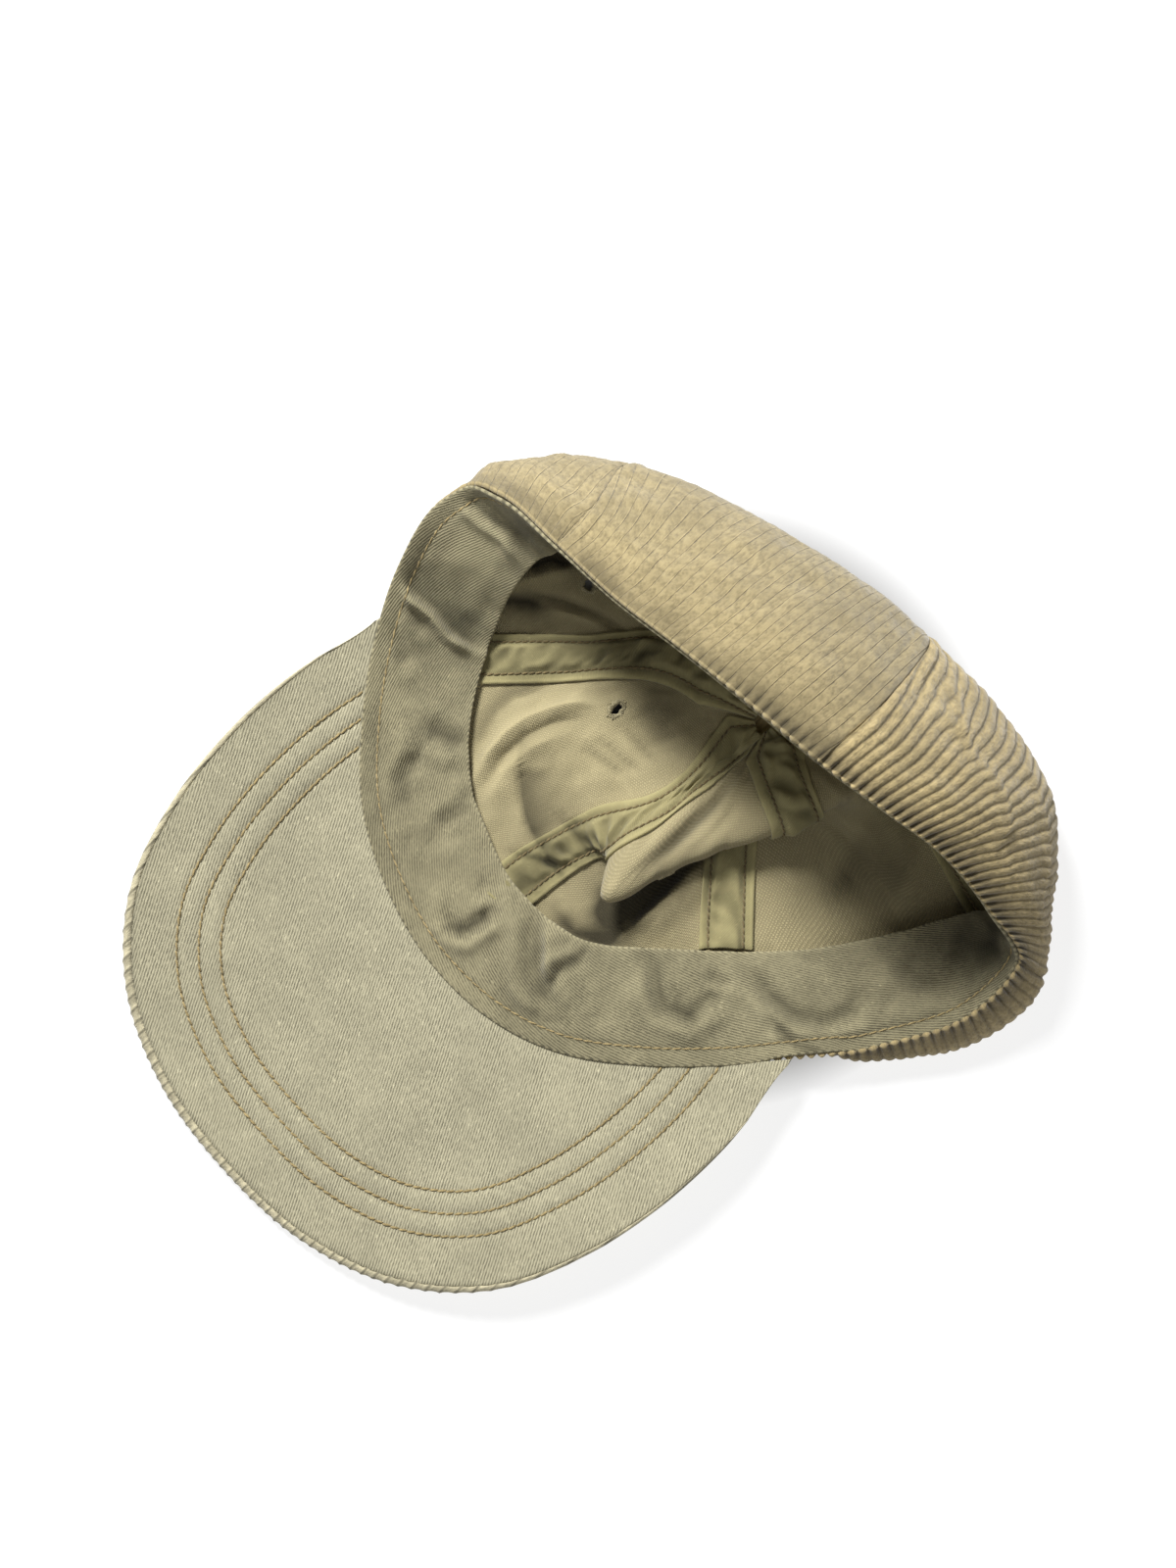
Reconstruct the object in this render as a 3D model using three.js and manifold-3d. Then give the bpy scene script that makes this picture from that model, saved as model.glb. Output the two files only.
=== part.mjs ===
// A six-panel corduroy cap with a long bill, lying upside down with its soft crown collapsed.
// Millimetres, +Z up. The bill points to -Y, its twill underside faces up, and the cap rests on z = 0.
// The crown is one surface, from the rim (up = 0) to the middle of its top (up = 1), cut into panels
// at the seams. "along" is the distance round the rim from the front seam, to the right positive.
import * as THREE from 'three';
import { mergeVertices } from 'three/addons/utils/BufferGeometryUtils.js';
import loadManifold from 'manifold-3d';

const wasm = await loadManifold();
wasm.setup();

const PANEL_WIDTH = 96.9;
const RIM_LENGTH = 6 * PANEL_WIDTH;

const CORDUROY = 1.7;
const BAND_CLOTH = 1.1;
const TAPE_CLOTH = 0.9;
const GAP = 0.3;
const TAPE_GAP = 0.4;
const SEAM_INSET = 0.2;

const TAPE_WIDTH = 16;
const PANEL_END = 0.962;
const PANEL_ROWS = 22;
const PANEL_COLUMNS = 8;
const TAPE_FIRST_ROW = 4;
const TAPE_HALF_COLUMNS = 2;
const TAPE_SPACE = 0.4;
const BAND_ROWS = 5;
const BAND_SLACK = 2.4;
const SOFTNESS = 2.5;

// Steps over which directions on the cloth are taken, and the least stretch of a step along the rim.
const REACH = { along: 0.6, up: 0.004, last: 0.999 };
const BAND_REACH = { along: 1, down: 0.02 };
const LEAST_STRETCH = 0.02;

const APEX = [2.3, 78.6, 6.2];
const CENTRE_SHIFT = [-3.14, -0.57];

// The crown's outer face in sections from the rim to the apex, with a row for each place on the rim.
// Columns: along, rim x, y, z, flank x, y, z, belly x, y, z, foot x, y, z.
const SECTION_UPS = [0, 0.14, 0.42, 0.72, 1];
const SECTIONS = [
  [-266.5, -3.5, 68.5, 73, -3.5, 86, 67, -5, 125.5, 24, -7.5, 113, -3],
  [-242.3, -26.7, 66.3, 67, -27, 83, 61, -26, 121.5, 22, -17.5, 107.5, -3],
  [-218, -49.8, 64, 59.5, -51, 80, 53, -52, 115, 18, -25.5, 101.5, -3],
  [-193.8, -72.5, 63.9, 52, -75, 78, 44, -81, 103, 10, -32, 95.5, -2],
  [-169.6, -95.2, 63.6, 43, -102, 75, 28, -92, 90, 2, -36.5, 89, -2],
  [-157, -105, 60, 37.5, -108.5, 68, 23, -80, 78, 1, -37, 85.5, 0],
  [-145.4, -108.8, 50.8, 31, -101, 54, 15, -70, 68, 2, -37, 82, 1],
  [-121, -106, 30.5, 18, -92, 38, 7, -60, 57, 1, -34, 77, 2],
  [-96.9, -95.3, 9.8, 10.1, -81, 21, 2, -54, 50, 0.5, -30, 73, 4],
  [-72.7, -80.2, -9, 7, -67.5, 4, 1, -49, 38, 2, -28, 67, 4.5],
  [-48.5, -62.3, -25.5, 4, -52, -9.5, 0, -40, 26, 3, -23, 60, 5],
  [-24.2, -40.8, -36.1, 1.6, -34.5, -17.5, -1, -28, 15, 2, -12, 51, 7],
  [0, -17, -41.6, 0.4, -16, -22, -1, -13.5, 9, 0, 1, 42, 9],
  [24.2, 7, -40.6, 0.8, 5, -21, -1, 8, 4, 0, 6, 48, 13],
  [48.5, 29.5, -32.5, 2.5, 20, -16, 0, 16, 10, 1, 9.5, 56, 13],
  [72.7, 49, -17.5, 5.1, 37, -3, 1, 21, 24, 2, 13, 64, 13],
  [96.9, 65.8, 0.2, 8.2, 52.5, 13.5, 2, 26, 39, 2, 16, 70.5, 13],
  [121, 81, 19.3, 10.5, 75, 25, 3, 40, 52, 1, 19, 76, 13],
  [133, 88.7, 27.7, 11, 92, 26.5, 5, 51, 57, 0, 22, 79, 12],
  [145.4, 95, 38.5, 12, 102.5, 36, 4, 62, 63, -2, 27, 83, 9],
  [169.6, 104.5, 60, 16, 114, 58.5, 6, 76, 75, -2, 35.5, 92, 2],
  [184, 104.5, 73.5, 21, 115, 76, 9, 80, 84, -2, 36, 98, -1],
  [193.8, 102, 81, 25.5, 111, 85, 13, 85, 92, -1, 35, 101, -2],
  [218, 83, 82.5, 41, 92, 95, 32, 90, 105, 9, 30.5, 107, -3],
  [242.3, 63, 81.3, 55, 69, 97, 48, 73, 123.5, 16, 23.5, 112, -3],
  [266.5, 43, 76.2, 67, 46, 92, 61, 45.5, 128, 22, 14, 114.5, -3],
  [290.7, 20.5, 71.2, 74, 21, 88, 68, 17, 127.5, 24, 3.5, 115, -3],
];

// The overhanging fold: how far it has formed, its hidden crease and the nose that hangs over.
// Columns: along, formed, crease x, y, nose x, y.
const FOLD = [
  [-12, 0, -10, 22, -8, 13],
  [0, 0.08, -5, 24, -6, 12],
  [12, 0.42, 2, 24, -1, 10],
  [24.2, 1, 8, 22, 4.5, 9.5],
  [48.5, 1, 7, 36, 13, 25],
  [72.7, 1, 5, 49, 21, 46],
  [96.9, 1, 7, 60, 29.5, 65],
  [121, 1, 16, 70, 33, 76],
  [145.4, 0.6, 26, 79, 37, 83],
  [169.6, 0.1, 35, 86, 42, 90],
  [184, 0, 37, 90, 43, 94],
];
const FOLD_LEVELS = { low: 0, middle: 9, high: 17 };
const FOLD_SHOULDER = 0.55;
const SUMMIT = { share: 0.6, lift: 0.8 };

// The sweatband's free edge where it stands off the crown, and how much it follows this row.
// Columns: along, free, edge x, y, z.
const BAND_EDGE = [
  [-208, 0, -62, 70, 30],
  [-193.8, 0.5, -66, 66, 26],
  [-169.6, 1, -76, 63.5, 30],
  [-157, 1, -78, 58, 27],
  [-145.4, 1, -78, 51, 20],
  [-121, 1, -76, 41, 9],
  [-96.9, 1, -70.5, 29.5, 4.6],
  [-72.7, 1, -58.5, 12.5, 4.2],
  [-48.5, 1, -46, 1.5, 4.2],
  [-24.2, 1, -31.5, -5, 4.2],
  [0, 1, -15.5, -9.5, 4.2],
  [24.2, 1, 3, -8.6, 6.5],
  [48.5, 1, 15.5, -3.5, 7.5],
  [72.7, 1, 29, 9, 7.5],
  [96.9, 1, 43, 22.5, 7],
  [121, 1, 56.5, 37.5, 7],
  [145.4, 1, 68, 54, 7],
  [169.6, 1, 78, 72, 8.5],
  [184, 1, 81.5, 79, 10.5],
  [193.8, 1, 84, 83.5, 12],
  [206, 0.6, 82, 88, 14],
  [220, 0, 80, 90, 20],
];

// The bill, and half of its outline. Columns: distance off its axis, y.
const BILL_COLUMNS = 34;
const BILL_ROWS = 4;
const BILL_GAP = 0.4;
const BILL_AXIS = -10.5;
const BILL_FROM = -103.5;
const BILL_TO = 115.5;
const BILL_EDGE = [
  [91, 4], [93.7, -18], [93.5, -40], [89.3, -66], [78.6, -92.8], [57.5, -114], [30.2, -125.4], [0, -128.4],
];
const BILL_BACK = 4;
const BILL_LENGTH = 132;
const BILL_LEAN = -1.4;
const BILL_CURL = 12;
const BILL_FLAT = 12;
const BILL_REACH = 94;
const COVER = 2.4;
const LINING = 1.1;
const WRAP_LEFT = 3.4;
const WRAP_RIGHT = 1.4;

// The cover's rolled edge: its stand above the underside, and where its round corners begin.
const ROLL = {
  stand: 0.2, inset: 0.5, shoulder: 0.1, foot: 0.6, low: 0.2, lowSide: 1.2, high: 0.1, highSide: 0.9,
};

const BUTTON_SIDES = 16;
const BUTTON_PROFILE = [
  [0, 0], [5, 0], [6.6, 0.9], [6.9, 2], [6.2, 3.3], [4.2, 4.4], [2, 4.8], [0, 4.9],
];
const EYELET = { bore: 1.6, radius: 3.4, hole: 3.8, stand: 0.4, sunk: 0.2, cut: 3 * CORDUROY, sides: 10 };

const SEAMS = [0, 1, 2, 3, 4, 5, 6].map((k) => -RIM_LENGTH / 2 + k * PANEL_WIDTH);
const PANELS = [
  { name: 'crown_panel_back_left', seam: 0, eyelet: [-242.3, 0.6] },
  { name: 'crown_panel_side_left', seam: 1, eyelet: [-144.5, 0.45] },
  { name: 'crown_panel_front_left', seam: 2, eyelet: [-52, 0.6] },
  { name: 'crown_panel_front_right', seam: 3, eyelet: [48.5, 0.61] },
  { name: 'crown_panel_side_right', seam: 4, eyelet: [150, 0.7] },
  { name: 'crown_panel_back_right', seam: 5, eyelet: [242.3, 0.6] },
];
const TAPES = [
  { name: 'seam_tape_back', seam: 0 },
  { name: 'seam_tape_back_left', seam: 1 },
  { name: 'seam_tape_front_left', seam: 2 },
  { name: 'seam_tape_front', seam: 3 },
  { name: 'seam_tape_front_right', seam: 4 },
  { name: 'seam_tape_back_right', seam: 5 },
];

const add = (a, b, scale = 1) => a.map((v, i) => v + b[i] * scale);
const sub = (a, b) => a.map((v, i) => v - b[i]);
const mix = (a, b, t) => a.map((v, i) => v + (b[i] - v) * t);
const length = (a) => Math.hypot(...a);
const unit = (a) => a.map((v) => v / (length(a) || 1));
const cross = (a, b) => [a[1] * b[2] - a[2] * b[1], a[2] * b[0] - a[0] * b[2], a[0] * b[1] - a[1] * b[0]];
const clamp = (v, low, high) => Math.min(high, Math.max(low, v));

// A smooth curve through rows of values at rising keys. With a period it closes on itself.
function through(keys, rows, at, period = 0) {
  const n = keys.length;
  const wrap = (i) => (period ? (i + n) % n : clamp(i, 0, n - 1));
  const key = (i) => (period ? keys[wrap(i)] + period * Math.floor(i / n) : keys[wrap(i)]);
  let x = at;
  if (period) {
    x = keys[0] + ((((at - keys[0]) % period) + period) % period);
  } else {
    x = clamp(at, keys[0], keys[n - 1]);
  }
  let i = 0;
  while (i < (period ? n - 1 : n - 2) && x >= key(i + 1)) {
    i += 1;
  }
  const slope = (j) => {
    const step = key(j + 1) - key(j);
    return sub(rows[wrap(j + 1)], rows[wrap(j)]).map((v) => (step > 0 ? v / step : 0));
  };
  const tangent = (j) => {
    if (!period && j === 0) {
      return slope(0);
    }
    if (!period && j === n - 1) {
      return slope(n - 2);
    }
    const before = key(j) - key(j - 1);
    const after = key(j + 1) - key(j);
    const a = slope(j - 1);
    const b = slope(j);
    return a.map((v, c) => (v * after + b[c] * before) / (before + after));
  };
  const span = key(i + 1) - key(i);
  const t = (x - key(i)) / span;
  const p = rows[wrap(i)];
  const q = rows[wrap(i + 1)];
  const m = tangent(i);
  const k = tangent(i + 1);
  return p.map((v, c) => (2 * t ** 3 - 3 * t ** 2 + 1) * v + (t ** 3 - 2 * t ** 2 + t) * span * m[c]
    + (3 * t ** 2 - 2 * t ** 3) * q[c] + (t ** 3 - t ** 2) * span * k[c]);
}

// A rounded path that is drawn towards its points, from the first point to the last.
function rounded(points, at) {
  const n = points.length - 1;
  const point = (i) => {
    if (i < 0) {
      return mix(points[1], points[0], 2);
    }
    return i > n ? mix(points[n - 1], points[n], 2) : points[i];
  };
  const place = clamp(at, 0, 1) * n;
  const i = Math.min(Math.floor(place), n - 1);
  const t = place - i;
  const weights = [(1 - t) ** 3, 3 * t ** 3 - 6 * t ** 2 + 4, -3 * t ** 3 + 3 * t ** 2 + 3 * t + 1, t ** 3];
  let sum = [0, 0, 0];
  weights.forEach((w, k) => {
    sum = add(sum, point(i + k - 1), w / 6);
  });
  return sum;
}

const SECTION_KEYS = SECTIONS.map((row) => row[0]);
const SECTION_ROWS = SECTIONS.map((row) => row.slice(1));
const FOLD_KEYS = FOLD.map((row) => row[0]);
const FOLD_ROWS = FOLD.map((row) => row.slice(1));
const BAND_KEYS = BAND_EDGE.map((row) => row[0]);
const BAND_VALUES = BAND_EDGE.map((row) => row.slice(1));

function inside(keys, along) {
  return along > keys[0] && along < keys[keys.length - 1];
}

// Cloth that would sink below the table lies flat on it, with a soft bend above.
function rest(z) {
  return Math.abs(z) < SOFTNESS ? (z + SOFTNESS) ** 2 / (4 * SOFTNESS) : Math.max(z, 0);
}

// The crown's outer face.
function crown(along, up) {
  const around = along > RIM_LENGTH / 2 ? along - RIM_LENGTH : along;
  const row = through(SECTION_KEYS, SECTION_ROWS, around, RIM_LENGTH);
  const points = [0, 3, 6, 9].map((k) => row.slice(k, k + 3));
  points.push(APEX);
  let place = through(SECTION_UPS, points, up);
  if (inside(FOLD_KEYS, around)) {
    const [formed, creaseX, creaseY, noseX, noseY] = through(FOLD_KEYS, FOLD_ROWS, around);
    const [rim, flank, belly, foot] = points;
    const { low, middle, high } = FOLD_LEVELS;
    const summit = [...mix(foot, APEX, SUMMIT.share).slice(0, 2), APEX[2] + SUMMIT.lift];
    const folded = rounded([
      rim, flank, mix(flank, belly, FOLD_SHOULDER), belly, [creaseX, creaseY, low], [creaseX, creaseY, middle],
      [noseX, noseY, middle], [noseX, noseY, high], foot, summit, APEX,
    ], up);
    place = mix(place, folded, clamp(formed, 0, 1));
  }
  return [place[0], place[1], rest(place[2])];
}

function tangents(along, up) {
  const low = Math.max(up - REACH.up, 0);
  const high = Math.min(up + REACH.up, REACH.last);
  const [left, right] = [crown(along - REACH.along, up), crown(along + REACH.along, up)];
  const across = sub(right, left).map((v) => v / (2 * REACH.along));
  const upward = sub(crown(along, high), crown(along, low)).map((v) => v / (high - low));
  return { across, upward, inward: unit(cross(across, upward)) };
}

// A point on the inner side of the crown, off its outer face by a distance.
function inner(along, up, off) {
  return add(crown(along, up), tangents(along, up).inward, off);
}

// One closed body between two grids of points of the same size.
function solid(below, above, closed = false) {
  const across = below.length;
  const down = below[0].length;
  const positions = [];
  [below, above].forEach((grid) => grid.forEach((line) => line.forEach((point) => positions.push(...point))));
  const at = (i, j, top) => (top ? across * down : 0) + (i % across) * down + j;
  const index = [];
  const quad = (a, b, c, d) => index.push(a, b, c, a, c, d);
  const columns = closed ? across : across - 1;
  for (let i = 0; i < columns; i += 1) {
    for (let j = 0; j < down - 1; j += 1) {
      quad(at(i, j, 0), at(i, j + 1, 0), at(i + 1, j + 1, 0), at(i + 1, j, 0));
      quad(at(i, j, 1), at(i + 1, j, 1), at(i + 1, j + 1, 1), at(i, j + 1, 1));
    }
    quad(at(i, 0, 0), at(i + 1, 0, 0), at(i + 1, 0, 1), at(i, 0, 1));
    quad(at(i, down - 1, 0), at(i, down - 1, 1), at(i + 1, down - 1, 1), at(i + 1, down - 1, 0));
  }
  if (!closed) {
    for (let j = 0; j < down - 1; j += 1) {
      quad(at(0, j, 0), at(0, j, 1), at(0, j + 1, 1), at(0, j + 1, 0));
      quad(at(across - 1, j, 0), at(across - 1, j + 1, 0), at(across - 1, j + 1, 1), at(across - 1, j, 1));
    }
  }
  const geometry = new THREE.BufferGeometry();
  geometry.setAttribute('position', new THREE.Float32BufferAttribute(positions, 3));
  geometry.setIndex(index);
  return geometry;
}

function toManifold(geometry) {
  const plain = geometry.clone();
  plain.deleteAttribute('normal');
  plain.deleteAttribute('uv');
  const merged = mergeVertices(plain, 1e-4);
  return new wasm.Manifold(new wasm.Mesh({
    numProp: 3,
    vertProperties: new Float32Array(merged.attributes.position.array),
    triVerts: new Uint32Array(merged.index.array),
  }));
}

function fromManifold(body) {
  const mesh = body.getMesh();
  const geometry = new THREE.BufferGeometry();
  geometry.setAttribute('position', new THREE.Float32BufferAttribute(mesh.vertProperties, 3));
  geometry.setIndex(Array.from(mesh.triVerts));
  return geometry;
}

// How far up the crown a row of cloth lies, and how much of a step along the rim is left there.
const panelUp = (row) => (PANEL_END * row) / PANEL_ROWS;
const stretch = (along, up) => Math.max(length(tangents(along, up).across), LEAST_STRETCH);

// A point off the flat facets of the panels, between two of their columns.
function overPanel(along, up, off) {
  const step = PANEL_WIDTH / PANEL_COLUMNS;
  const column = Math.floor(along / step);
  return mix(inner(column * step, up, off), inner((column + 1) * step, up, off), along / step - column);
}

// Where a ring sits in a panel: the middle of the wall there, with its axis square to the cloth.
function ringPlace([along, up]) {
  const { inward } = tangents(along, up);
  const turn = new THREE.Quaternion().setFromUnitVectors(new THREE.Vector3(0, 1, 0), new THREE.Vector3(...inward));
  return new THREE.Matrix4().compose(
    new THREE.Vector3(...inner(along, up, CORDUROY / 2)), turn, new THREE.Vector3(1, 1, 1));
}

function panel({ seam, eyelet }) {
  const below = [];
  const above = [];
  for (let i = 0; i <= PANEL_COLUMNS; i += 1) {
    const lineBelow = [];
    const lineAbove = [];
    for (let j = 0; j <= PANEL_ROWS; j += 1) {
      const up = panelUp(j);
      const inset = i % PANEL_COLUMNS ? 0 : SEAM_INSET / stretch(SEAMS[seam + i / PANEL_COLUMNS], up);
      const along = SEAMS[seam] + (PANEL_WIDTH * i) / PANEL_COLUMNS + (i ? -inset : inset);
      lineBelow.push(crown(along, up));
      lineAbove.push(inner(along, up, CORDUROY));
    }
    below.push(lineBelow);
    above.push(lineAbove);
  }
  const hole = new THREE.CylinderGeometry(EYELET.hole, EYELET.hole, EYELET.cut, EYELET.sides);
  hole.applyMatrix4(ringPlace(eyelet));
  return fromManifold(toManifold(solid(below, above)).subtract(toManifold(hole)));
}

function eyeletRing({ eyelet }) {
  const outer = -CORDUROY / 2 + EYELET.sunk;
  const top = CORDUROY / 2 + EYELET.stand;
  const profile = [
    [EYELET.bore, outer], [EYELET.radius, outer], [EYELET.radius, top], [EYELET.bore, top], [EYELET.bore, outer],
  ];
  const ring = new THREE.LatheGeometry(profile.map(([r, y]) => new THREE.Vector2(r, y)), EYELET.sides);
  return ring.applyMatrix4(ringPlace(eyelet));
}

function tape({ seam }) {
  const below = [];
  const above = [];
  for (let i = -TAPE_HALF_COLUMNS; i <= TAPE_HALF_COLUMNS; i += 1) {
    const lineBelow = [];
    const lineAbove = [];
    for (let j = TAPE_FIRST_ROW; j <= PANEL_ROWS; j += 1) {
      const up = panelUp(j);
      const scale = stretch(SEAMS[seam], up);
      const half = Math.min(TAPE_WIDTH / 2 / scale, PANEL_WIDTH / 2 - TAPE_SPACE / scale);
      const along = SEAMS[seam] + (half * i) / TAPE_HALF_COLUMNS;
      lineBelow.push(overPanel(along, up, CORDUROY + TAPE_GAP));
      lineAbove.push(overPanel(along, up, CORDUROY + TAPE_GAP + TAPE_CLOTH));
    }
    below.push(lineBelow);
    above.push(lineAbove);
  }
  return solid(below, above);
}

// The sweatband's side that faces the crown, from the rim (0) to its free edge (1).
function band(along, down) {
  const around = along > RIM_LENGTH / 2 ? along - RIM_LENGTH : along;
  const lining = inner(around, panelUp(BAND_ROWS) * down, CORDUROY + GAP + BAND_SLACK * down);
  if (!inside(BAND_KEYS, around)) {
    return lining;
  }
  const [free, ...edge] = through(BAND_KEYS, BAND_VALUES, around);
  const taut = mix(inner(around, 0, CORDUROY + GAP), edge, down);
  return mix(lining, taut, clamp(free, 0, 1));
}

function sweatband() {
  const below = [];
  const above = [];
  for (let i = 0; i < 6 * PANEL_COLUMNS; i += 1) {
    const lineBelow = [];
    const lineAbove = [];
    for (let j = 0; j <= BAND_ROWS; j += 1) {
      const along = (PANEL_WIDTH * i) / PANEL_COLUMNS - RIM_LENGTH / 2;
      const t = j / BAND_ROWS;
      const side = sub(band(along + BAND_REACH.along, t), band(along - BAND_REACH.along, t));
      const rise = sub(
        band(along, Math.min(t + BAND_REACH.down, 1)), band(along, Math.max(t - BAND_REACH.down, 0)));
      lineBelow.push(band(along, t));
      lineAbove.push(add(band(along, t), unit(cross(side, rise)), BAND_CLOTH));
    }
    below.push(lineBelow);
    above.push(lineAbove);
  }
  return solid(below, above, true);
}

// The bill's tip leans a little to the left of its axis.
const billSide = (side) => BILL_EDGE.map(
  ([off, y]) => [BILL_AXIS + side * off + (BILL_LEAN * (BILL_BACK - y)) / BILL_LENGTH, y]);
const BILL_OUTLINE = [...billSide(-1), ...billSide(1).slice(0, -1).reverse()];
const BILL_KEYS = BILL_OUTLINE.reduce((keys, point, i) => {
  keys.push(i ? keys[i - 1] + length(sub(point, BILL_OUTLINE[i - 1])) : 0);
  return keys;
}, []);

// Height of the bill's lower face: flat along its axis and curled up towards both sides.
function billRise(x) {
  const off = Math.max(Math.abs(x - BILL_AXIS) - BILL_FLAT, 0) / (BILL_REACH - BILL_FLAT);
  return BILL_CURL * off ** 2;
}

// Two ends of a line across the bill, from the seam to the outline, at a share of its way round.
function billLine(share) {
  const along = BILL_FROM + (BILL_TO - BILL_FROM) * share;
  const rim = crown(along, 0);
  const { upward } = tangents(along, 0);
  const away = unit([-upward[0], -upward[1], 0]);
  const seam = add(rim, away, BILL_GAP).slice(0, 2);
  return [seam, through(BILL_KEYS, BILL_OUTLINE, BILL_KEYS[BILL_KEYS.length - 1] * share)];
}

function billSolid(cover) {
  const below = [];
  const above = [];
  for (let i = 0; i <= BILL_COLUMNS; i += 1) {
    const share = i / BILL_COLUMNS;
    const [seam, edge] = billLine(share);
    const span = length(sub(edge, seam));
    const wrap = WRAP_LEFT + (WRAP_RIGHT - WRAP_LEFT) * share;
    const place = (inset, height) => {
      const [x, y] = mix(seam, edge, 1 - inset / span);
      return [x, y, billRise(x) + height];
    };
    const lineBelow = [];
    const lineAbove = [];
    const reach = cover ? wrap : wrap + GAP;
    const bottom = cover ? 0 : COVER + GAP;
    const top = cover ? COVER : COVER + GAP + LINING;
    for (let j = 0; j <= BILL_ROWS; j += 1) {
      const inset = reach + (span - reach) * (1 - j / BILL_ROWS);
      lineBelow.push(place(inset, bottom));
      lineAbove.push(place(inset, top));
    }
    if (cover) {
      const crest = COVER + GAP + LINING + ROLL.stand;
      lineBelow.push(place(wrap * ROLL.foot, 0), place(ROLL.inset, ROLL.low), place(0, ROLL.lowSide));
      lineAbove.push(place(wrap - ROLL.shoulder, crest), place(ROLL.inset, crest - ROLL.high));
      lineAbove.push(place(0, crest - ROLL.highSide));
    }
    below.push(lineBelow);
    above.push(lineAbove);
  }
  return solid(above, below);
}

const COLOURS = { corduroy: 0xbfb087, inside: 0xb2a682, twill: 0xb9b397, band: 0x989173, tape: 0xada376 };

const cap = new THREE.Group();

function piece(name, geometry, colour, roughness = 0.95) {
  const material = new THREE.MeshStandardMaterial({ color: colour, roughness, metalness: 0 });
  const mesh = new THREE.Mesh(geometry, material);
  mesh.name = name;
  cap.add(mesh);
}

PANELS.forEach((row) => {
  piece(row.name, panel(row), COLOURS.corduroy);
  piece(row.name.replace('crown_panel', 'eyelet'), eyeletRing(row), COLOURS.inside);
});
TAPES.forEach((row) => piece(row.name, tape(row), COLOURS.tape));
piece('sweatband', sweatband(), COLOURS.band);
piece('bill_cover', billSolid(true), COLOURS.corduroy);
piece('bill_underside', billSolid(false), COLOURS.twill);

const buttonShape = new THREE.LatheGeometry(
  BUTTON_PROFILE.map(([r, y]) => new THREE.Vector2(r, y)), BUTTON_SIDES);
piece('top_button', buttonShape.rotateX(Math.PI / 2).translate(APEX[0], APEX[1], 0), COLOURS.corduroy);

cap.position.set(CENTRE_SHIFT[0], CENTRE_SHIFT[1], 0);

export default cap;
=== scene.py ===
"""A six-panel corduroy cap with a long bill, lying upside down with its soft crown collapsed.

Shapes are worked out in millimetres, in the model's own axes before it is centred on the origin.
"along" is the distance round the rim from the front seam, and "up" goes from the rim (0) to the
middle of the crown's top (1), as in the model's source.
"""
import math

import bpy
import numpy as np
from mathutils import Matrix, Vector


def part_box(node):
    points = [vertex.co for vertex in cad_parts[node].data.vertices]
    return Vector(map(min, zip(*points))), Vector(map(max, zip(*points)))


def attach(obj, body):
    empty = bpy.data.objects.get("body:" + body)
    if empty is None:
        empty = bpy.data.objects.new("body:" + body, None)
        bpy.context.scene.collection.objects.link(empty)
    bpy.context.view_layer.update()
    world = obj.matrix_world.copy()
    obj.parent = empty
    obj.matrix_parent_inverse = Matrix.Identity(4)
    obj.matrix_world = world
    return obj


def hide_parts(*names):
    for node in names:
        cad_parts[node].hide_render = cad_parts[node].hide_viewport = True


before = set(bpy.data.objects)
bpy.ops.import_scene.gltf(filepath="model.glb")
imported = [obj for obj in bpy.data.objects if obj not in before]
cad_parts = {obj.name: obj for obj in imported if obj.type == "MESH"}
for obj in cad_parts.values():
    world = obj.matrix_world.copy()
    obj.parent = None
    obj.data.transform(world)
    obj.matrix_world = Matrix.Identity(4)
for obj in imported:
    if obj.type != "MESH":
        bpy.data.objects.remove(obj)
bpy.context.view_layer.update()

MM = 0.001
CENTRE_SHIFT = np.array([-3.14, -0.57, 0.0])

PANEL_WIDTH = 96.9
RIM_LENGTH = 6 * PANEL_WIDTH
PANEL_LENGTH = 170.0
CORDUROY = 1.7
BAND_CLOTH = 1.1
TAPE_CLOTH = 0.7
GAP = 0.3
TAPE_GAP = 0.35
TAPE_WIDTH = 16.0
PANEL_END = 0.962
TAPE_START = 0.175
BAND_REACH = 0.2186
SOFTNESS = 2.5
APEX = np.array([2.3, 78.6, 6.2])

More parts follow.
